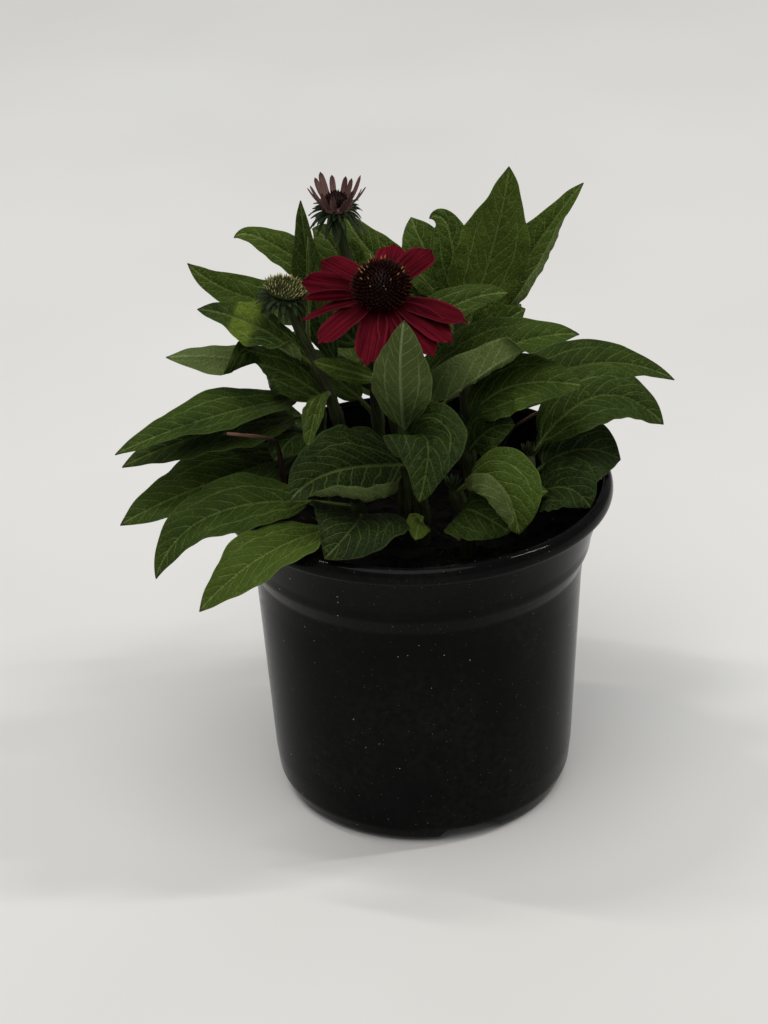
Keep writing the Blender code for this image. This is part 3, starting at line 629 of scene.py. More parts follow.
# Stems: points from the soil's height up, and the radius at each end. Below that each goes straight down.
holeFoot = 110
stemRows = {
    "flower_stem": ([(-6, 8, 150), (-9, 4, 190), (-12, -5, 228), (-13, -9.5, 250)], (3.0, 2.4)),
    "tall_bud_stem": ([(-16, 32, 150), (-18, 34, 200), (-26, 36, 240), (-32, 35, 273)], (3.0, 2.2)),
    "low_bud_stem": ([(-28, 4, 150), (-36, 2, 195), (-50, 5, 229), (-55, 9, 243)], (3.0, 2.2)),
    "back_right_shoot": ([(26, 30, 150), (24, 35, 200), (21, 38, 232)], (3.2, 2.2)),
    "right_shoot": ([(26, -2, 150), (22, -6, 188)], (3.4, 2.6)),
    "right_low_shoot": ([(48, -16, 146), (52, -8, 172)], (3.4, 2.6)),
    "left_shoot": ([(-44, 18, 150), (-44, 12, 198)], (3.4, 2.6)),
    "front_left_shoot": ([(-26, -26, 146), (-28, -28, 162)], (3.4, 2.8)),
    "front_shoot": ([(2, -22, 150), (-6, -30, 206)], (3.4, 2.4)),
    "front_right_shoot": ([(22, -36, 150), (16, -38, 172)], (3.4, 2.8)),
    "back_shoot": ([(0, 60, 150), (0, 62, 178)], (3.4, 2.8)),
}
stems = {}
for name, (path, radius) in stemRows.items():
    stems[name] = {"path": [(path[0][0], path[0][1], holeFoot)] + path, "radius": radius}

# Leaves: the stem each one grows from and the height there, where its tip ends, the full width, the way
# its upper side looks, how far the middle is lifted and swung sideways, the fold in degrees, the tint
# (painted light and shade of the whole leaf along with its own paleness: 1 is painted bright, 0 dark,
# below 0 painted deep shade), the share of the length where the middle is pushed, and the share of bare
# stalk.
leafValues = ("on", "at", "tip", "width", "face", "arch", "bow", "fold", "tint", "peak", "stalk")
leafUsual = {"tint": 0.24, "peak": 0.45, "stalk": 0.22}
leafRows = {
    "left_high": ("left_shoot", 194, (-133, -45, 197), 28, (-0.2, -0.4, 1), 6, -2, 14, 0.22, 0.51, 0.12),
    "left_second": ("left_shoot", 184, (-132, -30, 183), 30, (-0.1, -0.5, 1), 9, -6, 8, 0.18, 0.61, 0.14),
    "left_third": ("left_shoot", 166, (-134, -40, 159), 34, (-0.2, -0.7, 1), 7, -5, 8, 0.22, 0.71, 0.14),
    "left_low": ("front_left_shoot", 157, (-118, -60, 142), 32, (-0.4, -0.6, 1), 19, 5, 10, 0.26, 0.8),
    "front_bright": ("front_left_shoot", 148, (-98, -82, 137), 34, (-0.6, -0.6, 1), 18, -10, 8, 0.58, 0.75),
    "front_round": ("front_shoot", 176, (-56, -66, 182), 40, (-0.1, -0.8, 1), 8, 1, 8, -0.16, 0.74, 0.12),
    "front_dark": ("front_left_shoot", 152, (-42, -80, 160), 46, (0.1, -0.5, 1), 11, -9, 8, -0.2, 0.8),
    "front_narrow": ("low_bud_stem", 200, (-48, -35, 192), 12, (-0.5, -1, 0.6), 8, 0, 24, 0.4),
    "left_flip": ("low_bud_stem", 190, (-112, 10, 218), 30, (0, -0.7, 1), 14, -3, 8, 0.12, 0.27, 0.12),
    "left_dark": ("left_shoot", 172, (-64, -18, 177), 26, (-0.2, -0.6, 1), 7, 0, 8, -0.05, 0.5),
    "bud_twist": ("low_bud_stem", 212, (-96, 6, 243), 24, (0, -0.8, 1), 9, -5, 8, 0.98, 0.48, 0.1),
    "left_back": ("tall_bud_stem", 224, (-102, 48, 248), 22, (-0.2, -0.8, 1), -9, 2, 10, 0.56, 0.8, 0.14),
    "left_far": ("tall_bud_stem", 226, (-80, 50, 259), 18, (0, -0.8, 1), 9, -1, 10, 0.55, 0.8, 0.16),
    "bud_upright": ("tall_bud_stem", 206, (-48, 30, 284), 19, (-0.4, -1, 0.2), -46, -3, 16, 0.24, 0.8),
    "bud_sliver": ("low_bud_stem", 222, (-45, 20, 271), 6, (1, -0.4, 0), -21, -1, 10, 0.4, 0.8),
    "bud_back": ("tall_bud_stem", 222, (-44, 60, 258), 24, (-0.2, -1, 0.6), 7, 2, 8, 0.46, 0.6),
    "bud_low_back": ("tall_bud_stem", 202, (-50, 60, 222), 20, (0, -1, 0.6), 2, 0, 8, 0.1, 0.5),
    "bud_right": ("back_right_shoot", 210, (-28, 74, 259), 24, (0, -1, 0.6), 4, -9, 10, 0.42, 0.8, 0.16),
    "centre_back": ("back_right_shoot", 226, (2, 60, 262), 27, (0, -1, 0.5), 1, -2, 8, 0.46, 0.54, 0.1),
    "centre_curl": ("back_right_shoot", 222, (13, 56, 268), 20, (0, -1, 0.5), 14, 2, 8, 0.4, 0.35, 0.1),
    "tall_back": ("back_right_shoot", 208, (47, 45, 291), 36, (0.2, -1, 0.4), -7, 1, 8, 0.6, 0.8, 0.1),
    "tall_right": ("back_right_shoot", 198, (82, 60, 276), 26, (-0.5, -1, 0.6), 2, -2, 16, 0.56, 0.7, 0.1),
    "right_mid": ("flower_stem", 224, (44, 5, 246), 18, (0, -0.8, 1), 6, -1, 10, 0.3, 0.57, 0.1),
    "right_small": ("back_right_shoot", 206, (53, 30, 227), 20, (0, -1, 1), 1, 2, 12, 0.22, 0.65, 0.1),
    "right_big": ("flower_stem", 186, (75, -5, 229), 36, (-0.2, -0.6, 1), 12, 3, 12, 0.28, 0.55, 0.08),
    "right_under": ("right_shoot", 184, (76, -15, 208), 32, (0, -0.6, 1), 13, 1, 10, 0.3, 0.27, 0.12),
    "right_long": ("right_shoot", 178, (127, 70, 169), 30, (0.1, -0.6, 1), 16, -10, 10, 0.18, 0.64, 0.16),
    "right_lower": ("right_low_shoot", 168, (115, 8, 176), 32, (0.1, -0.6, 1), 22, -3, 10, 0.2, 0.52, 0.14),
    "right_round": ("right_low_shoot", 158, (95, 5, 160), 42, (0, -0.6, 1), 10, -2, 8, -0.1, 0.51),
    "rim_right": ("right_low_shoot", 148, (78, -32, 155), 36, (0, -0.4, 1), 10, -1, 8, -0.12, 0.6),
    "right_tiny": ("front_right_shoot", 160, (59, -30, 163), 16, (0, -0.6, 1), 3, 0, 8, 0.3),
    "front_right": ("front_right_shoot", 168, (44, -62, 159), 36, (0.3, -0.8, 1), 18, -1, 14, 0.38, 0.76),
    "front_under": ("front_right_shoot", 154, (40, -62, 160), 30, (-0.3, -0.8, 1), 11, 9, 8, 0.2, 0.46),
    "right_inner": ("right_shoot", 170, (45, -20, 192), 26, (0, -1, 1), 6, 4, 8, 0.12, 0.59),
    "centre_down": ("front_shoot", 190, (0, -72, 182), 36, (0.1, -1, 0.7), 18, -6, 16, -0.08, 0.8, 0.1),
    "pale_upright": ("front_shoot", 194, (-4, -61, 264), 28, (0.3, 1, -0.3), -6, 2, 6, 0.55, 0.8, 0.06),
    "pale_strip": ("flower_stem", 206, (-44, -35, 234), 10, (0, -1, 0.6), 0, 0, 8, 0.6),
    "soil_yellow": ("front_shoot", 148, (-2, -62, 158), 12, (0, -1, 0.4), 2, 0, 8, 0.85),
    "back_left_low": ("back_shoot", 152, (-66, 80, 172), 32, (0, 0.2, 1), 14, 0, 10),
    "back_left_high": ("back_shoot", 160, (-60, 104, 186), 30, (0, 0.3, 1), 10, 0, 10),
    "back_middle": ("back_shoot", 172, (-8, 136, 170), 36, (0, 0.4, 1), 24, 0, 12),
    "back_right": ("back_shoot", 160, (56, 116, 190), 32, (0, 0.3, 1), 18, 0, 12),
    "back_right_low": ("back_shoot", 150, (88, 100, 156), 32, (0, 0.2, 1), 18, 0, 12),
    "inner_left": ("flower_stem", 164, (-42, -26, 180), 20, (0, -0.7, 1), 8, 0, 8),
    "inner_back": ("back_right_shoot", 165, (60, 50, 186), 24, (0, -0.5, 1), 8, 0, 8),
    "inner_back_left": ("tall_bud_stem", 172, (-62, 54, 194), 24, (0, -0.4, 1), 8, 0, 8),
    "left_back_low": ("left_shoot", 158, (-92, 44, 170), 26, (0, -0.2, 1), 12, 0, 8),
}

# What single leaves do beyond that. drawn: how much the tip is drawn out. roll: which side, from which
# share of the half blade, degrees, from and to which share of the length, extra width. flip: where the
# blade turns over, how quickly, degrees, slant. hook: where the tip bends, degrees. tone: painted shade
# along the leaf: up to which share of the length it is painted dark, how dark, and from which share it is
# painted dark again. slim: up to where it is narrower, and by how much. lop: one half wide low down and
# the other high up.
leafTraits = {
    "left_high": dict(drawn=0.5),
    "left_second": dict(drawn=0.2),
    "left_low": dict(drawn=0.3),
    "front_bright": dict(roll=(-1, 0.5, 130, 0.12, 0.5, 0.5)),
    "front_round": dict(roll=(-1, 0.62, 150, 0.1, 0.98, 0.5)),
    "left_flip": dict(flip=(0.47, 0.09, 168, 0.12), drawn=0.4),
    "bud_twist": dict(
        drawn=0.5, roll=(-1, 0.3, 150, 0.12, 0.45, 0.6), tone=(0.52, 0.1, 0.78), slim=(0.5, 0.6)
    ),
    "left_back": dict(drawn=0.2),
    "bud_upright": dict(drawn=0.5),
    "centre_curl": dict(hook=(0.82, 70)),
    "tall_back": dict(drawn=0.3),
    "tall_right": dict(roll=(1, 0.6, 130, 0.1, 0.9, 0.3), drawn=0.6),
    "right_big": dict(roll=(1, 0.38, 150, 0.12, 0.8, 0.75), drawn=0.3),
    "right_long": dict(drawn=0.4),
    "front_right": dict(roll=(1, 0.45, 130, 0.1, 0.95, 0.3)),
    "centre_down": dict(drawn=0.6),
    "pale_upright": dict(lop=0.32),
}
leaves = {}
for index, (name, row) in enumerate(leafRows.items()):
    phase = (index * 2.4) % (2 * math.pi)
    leaves[name] = {**leafUsual, **dict(zip(leafValues, row)), **leafTraits.get(name, {}), "phase": phase}

bladeMake = {
    "steps": 64, "cells": 14, "thick": 0.42, "stalkThick": 2.2, "rib": 0.85, "puff": 0.55, "wave": 1.2,
}


def stemPoint(stem, height):
    path = np.array(stems[stem]["path"], float)
    return np.array([np.interp(height, path[:, 2], path[:, axis]) for axis in range(3)])


def midrib(leaf, steps):
    # one bent line from inside the stem to the tip
    root, tip = stemPoint(leaf["on"], leaf["at"]), np.array(leaf["tip"], float)
    side = unit(np.cross(tip - root, up))
    control = root + (tip - root) * leaf["peak"] + 2.0 * leaf["arch"] * up + 2.0 * leaf["bow"] * side
    t = np.linspace(0.0, 1.0, 61)[:, None]
    line = evenLine((1 - t) ** 2 * root + 2 * t * (1 - t) * control + t**2 * tip, steps)
    start, degrees = leaf.get("hook", (1.0, 0.0))
    for step in range(int(start * steps) + 1, steps + 1):
        turn = Matrix.Rotation(math.radians(degrees) / (steps * (1 - start)), 3, Vector(unit(leaf["face"])))
        pivot = line[step - 1].copy()
        line[step:] = (line[step:] - pivot) @ np.array(turn).T + pivot
    return line


def bladeRelief(x, y, w, t, phase):
    # how far the blade is pushed up between its sunken veins, in millimetres
    share = np.abs(x) / np.maximum(w, 0.2)
    row = (y - np.abs(x) * (veins["slope"] + veins["sweep"] * share)) / veins["spacing"]
    gap = np.abs(row - np.floor(row) - 0.5) * 2
    quilt = np.sin(gap * math.pi / 2) ** 0.7 * np.sin(math.pi * np.clip(share, 0, 1)) ** 0.6
    nerve = bump((share - veins["nerve"] - veins["nerveDrift"] * t) * w, 1.1) * smooth((0.9 - t) * 3)
    places = np.stack([x * 0.16, y * 0.16, np.full_like(x, phase * 7)], -1)
    soft = grain(places, 1.0)
    lift = bladeMake["puff"] * (1.3 * quilt - 0.7 * nerve - 1.1 * bump(x, 0.9)) + 0.55 * soft * share
    return lift * smooth(w / 11.0)


def leafParts(leaf):
    steps, cells = bladeMake["steps"], bladeMake["cells"]
    line = midrib(leaf, steps)
    t = np.linspace(0, 1, steps + 1)
    length = np.linalg.norm(np.diff(line, axis=0), axis=1).sum()
    along = unit(np.gradient(line, axis=0))
    face = unit(leaf["face"])
    normal = unit(face - along * (along @ face)[:, None])
    across = np.cross(along, normal)
    q = (t - leaf["stalk"]) / (1 - leaf["stalk"])
    inside = np.clip(q, 0, 1)
    shape = np.abs(np.sin(math.pi * inside**0.8)) ** 0.9
    shape = shape * (1 - 0.55 * leaf.get("drawn", 0.0) * bump(q - 0.84, 0.17))
    narrow = 1.2 * (1 - 0.87 * smooth((t - 0.9) / 0.1))
    slimTo, slimBy = leaf.get("slim", (0.0, 1.0))
    slimmer = 1 - (1 - slimBy) * smooth((slimTo + 0.1 - t) / 0.15)
    half = narrow + (leaf["width"] / 2 - narrow) * shape * slimmer
    phase = leaf["phase"]
    flipAt, flipSpread, flipDegrees, flipSlant = leaf.get("flip", (2.0, 1.0, 0.0, 0.0))
    half = half * (1 - 0.42 * bump(t - flipAt - flipSpread / 2, 0.16))
    rollSide, rollFrom, rollDegrees, rollStart, rollEnd, rollExtra = leaf.get("roll", (0, 0, 0, 0, 0, 0))
    rolling = smooth((t - rollStart) / 0.14) * smooth((rollEnd - t) / 0.14)
    mid = np.zeros((steps + 1, 2 * cells + 1, 3))
    wide = np.zeros((steps + 1, 2 * cells + 1))
    for side in (-1, 1):
        edge = 1 + 0.022 * np.sin(17 * q + phase + side) + 0.018 * np.sin(41 * q + 2 * phase - side)
        reach = half * edge * (1 + (rollExtra * rolling if side == rollSide else 0))
        reach = reach * (1 + leaf.get("lop", 0.0) * side * (1 - 2 * t))
        x, z = np.zeros(steps + 1), np.zeros(steps + 1)
        for cell in range(1, cells + 1):
            u = (cell - 0.5) / cells
            angle = math.radians(leaf["fold"]) * (1.35 - 0.7 * u) + 0 * t
            if side == rollSide:
                angle = angle + math.radians(rollDegrees) * rolling * smooth((u - rollFrom) / 0.28)
            x = x + reach / cells * np.cos(angle)
            z = z + reach / cells * np.sin(angle)
            u = cell / cells
            ripple = bladeMake["wave"] * u**2 * np.sin(2 * math.pi * (2.3 * q + 0.35 * side) + phase)
            ripple += 0.4 * u**2 * np.sin(2 * math.pi * (6.7 * q + 0.2 * side) + 1.7 * phase)
            ripple *= np.sin(math.pi * inside) * min(1.0, leaf["width"] / 30)
            over = math.radians(flipDegrees) * smooth((t - flipAt - flipSlant * u * side) / flipSpread)
            flatX, flatZ = side * x, z + ripple
            turnedX = flatX * np.cos(over) - flatZ * np.sin(over)
            turnedZ = flatX * np.sin(over) + flatZ * np.cos(over)
            mid[:, cells + side * cell] = line + across * turnedX[:, None] + normal * turnedZ[:, None]
            wide[:, cells + side * cell] = side * u * half
    mid[:, cells] = line
    out = surfaceNormals(mid)
    if (out[steps // 2, cells] @ normal[steps // 2]) < 0:
        out = -out
    u = np.abs(np.linspace(-1, 1, 2 * cells + 1))[None, :]
    stalky = (1 - smooth(q * 4 + 0.4))[:, None]
    tt = np.broadcast_to(t[:, None], wide.shape)
    ww = np.broadcast_to(half[:, None], wide.shape)
    yy = tt * length
    mid = mid + out * bladeRelief(wide, yy, ww, tt, phase)[..., None]
    thick = bladeMake["thick"] * (1 - 0.45 * u**4)
    thick = thick + (bladeMake["stalkThick"] - bladeMake["thick"]) * stalky * np.sqrt(1 - (0.97 * u) ** 2)
    rib = bladeMake["rib"] * bump(wide, 0.75) * (1 - 0.8 * tt) * (1 - stalky)
    points, faces = shell(mid + out * (thick / 2)[..., None], mid - out * (thick / 2 + rib)[..., None])
    at = np.stack([wide, yy, ww], -1).reshape(-1, 3)
    # painted shade: outside the lit stretch of the leaf the tint falls to darkTint
    toneTo, darkTint, toneFrom = leaf.get("tone", (-1.0, 0.0, 2.0))
    lit = smooth((tt - toneTo) / 0.08) * smooth((toneFrom - tt) / 0.05)
    tint = (darkTint + (leaf["tint"] - darkTint) * lit).ravel()
    marks = [marked(tt.ravel(), tint, side) for side in (0.0, 1.0)]
    return points, faces, np.concatenate([at, at]), np.concatenate(marks)


stemMake = {
    "sides": 20, "rings": 46, "ribs": 7, "ribDepth": 0.05, "swell": 0.22, "bristles": 220, "bristle": 1.1,
}


def stemLine(stem, rings):
    # the part's own stem line, softened in the same way
    path = np.array(stems[stem]["path"], float)
    fine = [path[0]]
    for a, b in zip(path[:-1], path[1:]):
        count = 1 if b[2] < 151 else 2
        fine += [a + (b - a) * (step + 1) / count for step in range(count)]
    fine = np.array(fine)
    for index in range(2, len(fine) - 1):
        fine[index] = fine[index] * 0.6 + (fine[index - 1] + fine[index + 1]) * 0.2
    return curvedLine(fine, rings)


def addStem(basket, stem, kind, bristleKind, chance):
    line = stemLine(stem, stemMake["rings"])
    first, last = stems[stem]["radius"]
    radii = first + (last - first) * np.clip((line[:, 2] - 150) / 90, 0, 1)
    for leaf in leaves.values():
        if leaf["on"] == stem:
            radii = radii * (1 + stemMake["swell"] * bump(line[:, 2] - leaf["at"], 3.0))
    if stem.endswith("_shoot"):
        radii = radii * np.sqrt(1 - 0.96 * np.clip(np.linspace(1 - len(line) / 7, 1, len(line)), 0, 1) ** 2)
    points, faces, at, t = tubeShape(line, radii, stemMake["sides"], stemMake["ribs"], stemMake["ribDepth"])
    drop(basket, points, faces, kind, at, marked(t, chance.random()))
    tangents = unit(np.gradient(line, axis=0))
    for _ in range(stemMake["bristles"]):
        k = chance.randrange(8, len(line) - 1)
        if line[k][2] < 140:
            continue
        turn = chance.uniform(0, 2 * math.pi)
        side = unit(np.cross(tangents[k], (1, 0.2, 0)))
        way = math.cos(turn) * side + math.sin(turn) * np.cross(tangents[k], side)
        root = line[k] + (line[k + 1] - line[k]) * chance.random() + way * radii[k] * 0.95
        length = stemMake["bristle"] * chance.uniform(0.6, 1.2)
        spike(basket, root, way + tangents[k] * 0.3, length, 0.16, bristleKind, 0.5, 3, 0.0, 1)


# Scales under the flower heads
def scaleParts(start, reach, rise, bend, width, thick=0.55, point=3, steps=12, cells=3):
    s = np.linspace(0, 1, steps + 1)[:, None]
    u = np.linspace(-1, 1, 2 * cells + 1)[None, :]
    half = width / 2 * (0.62 + 0.5 * np.sin(math.pi * (0.1 + s * 0.62))) * (1 - s**point) ** 0.6 + 0.08
    x = start[0] + reach * s + 0 * u
    z = start[1] + rise * s + bend * s * s + 0.22 * half * u**2
    grid = np.stack([x, half * u, z], -1)
    out = surfaceNormals(grid)
    out = out * np.sign(out[..., 2:] + 1e-9)
    body = thick / 2 * (1 - 0.55 * u**2) * (1 - 0.5 * s**2)
    return thinBlade(grid, out, body, half, u, s + 0 * u, math.hypot(reach, rise + bend))


def addScales(basket, kind, count, radius, layers, head, chance):
    for layer, (height, reach, rise, bend, width) in enumerate(layers):
        for k in range(count):
            heading = 360 / count * (k + 0.5 * layer) + chance.uniform(-7, 7)
            long = reach * chance.uniform(0.85, 1.2)
            curl = bend * chance.uniform(0.7, 1.3)
            wide = width * chance.uniform(0.85, 1.1)
            points, faces, at, t = scaleParts((radius, height), long, rise, curl, wide)
            mark = marked(t, chance.random())
            drop(basket, placed(turned(points, heading), head), faces, kind, at, mark)


def addCup(basket, kind, radius, low, high, head):
    profile = [(0, low), (2.6, low), (radius, (low + high) / 2), (radius * 0.96, high), (0, high)]
    points, faces = lathe(rounded(profile, 1.2), 28)
    at = np.stack([points[:, 0], points[:, 2], points[:, 0] * 0 + radius], 1)
    drop(basket, placed(points, head), faces, kind, at, (0.3, 0, 0.2))


heads = {
    "bloom": {"centre": (-13.0, -10.0, 254.0), "tilt": 21, "lean": 0},
    "tall": {"centre": (-32.0, 34.8, 279.2), "tilt": 6, "lean": 2},
    "low": {"centre": (-57.0, 9.0, 248.0), "tilt": 4, "lean": 14},
}
bloom, tallBud, lowBud = ((head["centre"], headFrame(head["tilt"], head["lean"])) for head in heads.values())

# Under each head a cup: radius, foot and top. Round it scales: how many, how far out they start, and
# for each layer the height, reach, rise, bend and width.
cups = {
    "flower_stem": (bloom, (7.0, -7.0, -1.5), [
        (13, 5.2, [(-3.4, 7.0, -1.0, -2.6, 2.6), (-4.8, 6.0, -2.0, -4.0, 2.4)]),
    ]),
    "tall_bud_stem": (tallBud, (6.2, -6.4, -1.2), [
        (12, 4.6, [(-1.9, 6.0, 1.0, -1.8, 1.9), (-2.6, 7.4, -0.2, -3.2, 2.0), (-4.0, 6.6, -2.4, -5.4, 2.4)]),
        (11, 5.4, [(-0.8, 5.4, 3.4, -3.0, 1.2), (-1.6, 6.4, 1.6, -4.2, 1.3)]),
        (4, 3.4, [(-4.4, 9.6, -3.0, -8.0, 5.0)]),
    ]),
    "low_bud_stem": (lowBud, (7.4, -5.6, 0.1), [
        (15, 6.0, [(-0.9, 5.2, 1.0, -1.0, 1.7), (-2.0, 6.2, -0.4, -3.0, 2.0), (-3.2, 5.4, -1.8, -5.0, 2.2)]),
    ]),
}
shootScales = (5, 1.0, [(-2.5, 3.2, 7.0, -1.2, 2.8), (-1.0, 1.6, 6.0, 0.0, 2.0)])
stemSkins = [leafSkin, grown["stemSkin"], grown["bractSkin"], grown["bristle"]]
for stem in stems:
    chance = random.Random(stem)
    basket = newBasket()
    addStem(basket, stem, 1, 3, chance)
    for leaf in leaves.values():
        if leaf["on"] == stem:
            points, faces, at, mark = leafParts(leaf)
            drop(basket, points, faces, 0, at, mark)
    if stem in cups:
        head, cup, scales = cups[stem]
        addCup(basket, 2, *cup, head)
        for count, radius, layers in scales:
            addScales(basket, 2, count, radius, layers, head, chance)
    else:
        addScales(basket, 2, *shootScales, (stems[stem]["path"][-1], headFrame(0, 0)), chance)
    makePiece(stem + "_leaves", basket, stemSkins, [stem])
print("stage: stems and", len(leaves), "leaves")


# Bloom: heading in degrees, share of the length, droop of the tip, width, roll about the ray's own line
rays = [
    (52, 1.0, 2.6, 13.4, 8), (80, 1.0, 4.3, 13.6, 0), (137, 0.95, 1.8, 13.6, -10),
    (166, 0.95, -1.5, 11.5, -34), (181, 0.92, 0.2, 5.0, -66), (191, 0.97, 6.0, 11.5, 30),
    (221, 1.0, 4.0, 13.6, 10), (258, 1.0, 5.5, 13.6, 4), (280, 1.0, 8.3, 12.5, 0),
    (304, 1.05, 5.8, 13.2, 0), (318, 1.1, 4.2, 12.4, 6), (334, 1.12, 0.4, 13.6, -8),
]
rayMake = {"length": 30.0, "base": 7.6, "thick": 0.5, "steps": 30, "cells": 10}


def rayParts(length, width, droop, offset, roll, chance):
    steps, cells = rayMake["steps"], rayMake["cells"]
    s = np.linspace(0, 1, steps + 1)[:, None]
    u = np.linspace(-1, 1, 2 * cells + 1)[None, :]
    half = width / 2 * (0.34 + 0.66 * np.sin(math.pi * np.minimum(0.5, s * 0.95)))
    half = half * np.sqrt(1 - 0.93 * np.clip((s - 0.62) / 0.38, 0, 1) ** 3.2)
    lobes = 0.016 * np.cos(u * 2 * math.pi + chance.uniform(-0.8, 0.8)) - 0.08 * np.abs(u) ** 2.2
    lobes = lobes + chance.uniform(-0.01, 0.01)
    x = rayMake["base"] + length * s * (1 + lobes * smooth(s * 1.3))
    groove = 0.34 * np.cos(u * 2 * math.pi) * np.sin(math.pi * np.clip(s * 0.92, 0, 1))
    cup = chance.uniform(0.5, 1.6) * u**2 * smooth(s * 2)
    z = offset - droop * s**1.6 + groove + cup * np.where(s > 0.6, 1 - 1.4 * (s - 0.6), 1.0)
    z = z + 0.35 * np.sin(7 * s + 5 * chance.random()) * u * s
    y = half * u
    angle = math.radians(roll) * smooth(s * 1.8)
    y, z = y * np.cos(angle) - (z - offset) * np.sin(angle) * 0.25, z + y * np.sin(angle)
    grid = np.stack([x + 0 * y, y + 0 * x, z + 0 * x], -1)
    out = surfaceNormals(grid)
    out = out * np.sign(out[steps // 2, cells, 2])
    body = rayMake["thick"] / 2 * (1 - 0.5 * u**4) * (1 + 0.8 * (1 - smooth(s * 5)))
    return thinBlade(grid, out, body, half, u, s + 0 * u, length)


def addRing(basket, inner, outer, low, high, ease, sides, wide, tint, share, head):
    # the flat ring that the rays of a head grow from
    corners = [(inner, low), (outer, low), (outer, high), (inner, high)]
    points, faces = lathe(rounded(corners, ease), sides, True)
    drop(basket, placed(points, head), faces, 0, (0, 0, wide), (tint, 0, share))


chance = random.Random(11)
basket = newBasket()
addRing(basket, 5.7, 10.4, -1.1, 0.8, 0.3, 40, 3, 0.1, 0.05, bloom)
for k, (heading, stretch, droop, width, roll) in enumerate(rays):
    offset = -0.7 if k % 2 else 0.1
    points, faces, at, t = rayParts(rayMake["length"] * stretch, width, droop, offset, roll, chance)
    mark = marked(t, chance.random(), np.repeat([0.0, 1.0], len(t) // 2))
    drop(basket, placed(turned(points, heading), bloom), faces, 0, at, mark)
makePiece("bloom_petals", basket, [rayCrimson], ["bloom_rays"])

# Cones. low is the height where the dome starts, inward how much the spines lean to the axis,
# gold from and to which distance from the axis there are golden tips, and their share.
cones = {
    "bloom": dict(
        head=bloom, radius=11.2, height=11.4, low=2.6, spines=380, length=4.3, width=1.15, inward=0.35,
        gold=(5.6, 8.4, 0.26), skins=["coneSkin", "goldTips"], slot="cone",
    ),
    "tall_bud": dict(
        head=tallBud, radius=5.0, height=3.9, low=2.2, spines=90, length=1.9, width=0.85, inward=0.35,
        gold=(0, 0, 0), skins=["coneSkin", "goldTips"], slot="cone",
    ),
    "low_bud": dict(
        head=lowBud, radius=8.4, height=4.0, low=1.4, spines=170, length=3.6, width=0.85, inward=1.1,
        gold=(0, 0, 0), skins=["budGreen"], slot="green_cone",
    ),
}


def addCone(basket, cone, chance):
    # a domed core set with spines on a sunflower spiral
    radius, height, low = cone["radius"], cone["height"], cone["low"]
    right, back, axis = cone["head"][1]
    rises = np.linspace(0, math.pi / 2 * 0.96, 14)
    dome = [(radius * math.cos(rise), low + height * math.sin(rise)) for rise in rises]
    points, faces = lathe([(0, low - 0.7), (radius * 0.72, low - 0.7)] + dome + [(0, low + height)], 40)
    drop(basket, placed(points, cone["head"]), faces, 0, (0, 0, 1), (0.0, 0, 0.0))
    for k in range(cone["spines"]):
        rise = math.asin(min(1.0, (k + 0.5) / cone["spines"])) * 0.985
        turn = k * 2.399963
        x, y, z = math.cos(rise) * math.cos(turn), math.cos(rise) * math.sin(turn), math.sin(rise)
        foot = np.array([radius * x, radius * y, low + height * z])
        out = unit((x / radius, y / radius, z / height))
        way = unit(out + up * cone["inward"] + np.array([chance.uniform(-0.1, 0.1) for _ in range(3)]))
        way = way[0] * right + way[1] * back + way[2] * axis
        long = cone["length"] * chance.uniform(0.72, 1.12) * (1 - 0.35 * smooth((rise - 1.0) / 0.5))
        root = placed(foot - out * 0.4, cone["head"])
        goldFrom, goldTo, goldShare = cone["gold"]
        golden = goldFrom < math.hypot(foot[0], foot[1]) < goldTo and chance.random() < goldShare
        spike(basket, root, way, long, cone["width"] * chance.uniform(0.85, 1.15), 0, chance.random())
        if golden:
            spike(basket, root + way * long * 0.8, way, long * 0.38, cone["width"] * 0.62, 1, 0.8, 5, 0.0, 2)


chance = random.Random(21)
for name, cone in cones.items():
    basket = newBasket()
    addCone(basket, cone, chance)
    skins = [grown[skin] for skin in cone["skins"]]
    makePiece(name + "_centre", basket, skins, [name + "_cone"])

# Rays of the tall bud, narrow and still rising: reach, rise and bend each from least to most
budRays = {"count": 15, "width": 2.7, "reach": (4.6, 8.0), "rise": (3.6, 5.0), "bend": (4.6, 7.4), "point": 8}
basket = newBasket()
addRing(basket, 3.7, 7.2, -0.8, 0.8, 0.25, 32, 2, 0.1, 0.1, tallBud)
for k in range(budRays["count"]):
    heading = 360 / budRays["count"] * k + chance.uniform(-5, 5)
    reach, rise = chance.uniform(*budRays["reach"]), chance.uniform(*budRays["rise"])
    bend = chance.uniform(*budRays["bend"]) * (0.8 if k % 3 == 0 else 1.0)
    width = budRays["width"] * chance.uniform(0.85, 1.15)
    start = (5.4 + 0.5 * (k % 2), 0)
    points, faces, at, t = scaleParts(start, reach, rise, bend, width, 0.7, budRays["point"])
    mark = marked(t, chance.uniform(0.5, 1.0))
    drop(basket, placed(turned(points, heading), tallBud), faces, 0, at, mark)
makePiece("tall_bud_petals", basket, [grown["budMauve"]], ["tall_bud_rays"])
print("stage: bloom and buds")

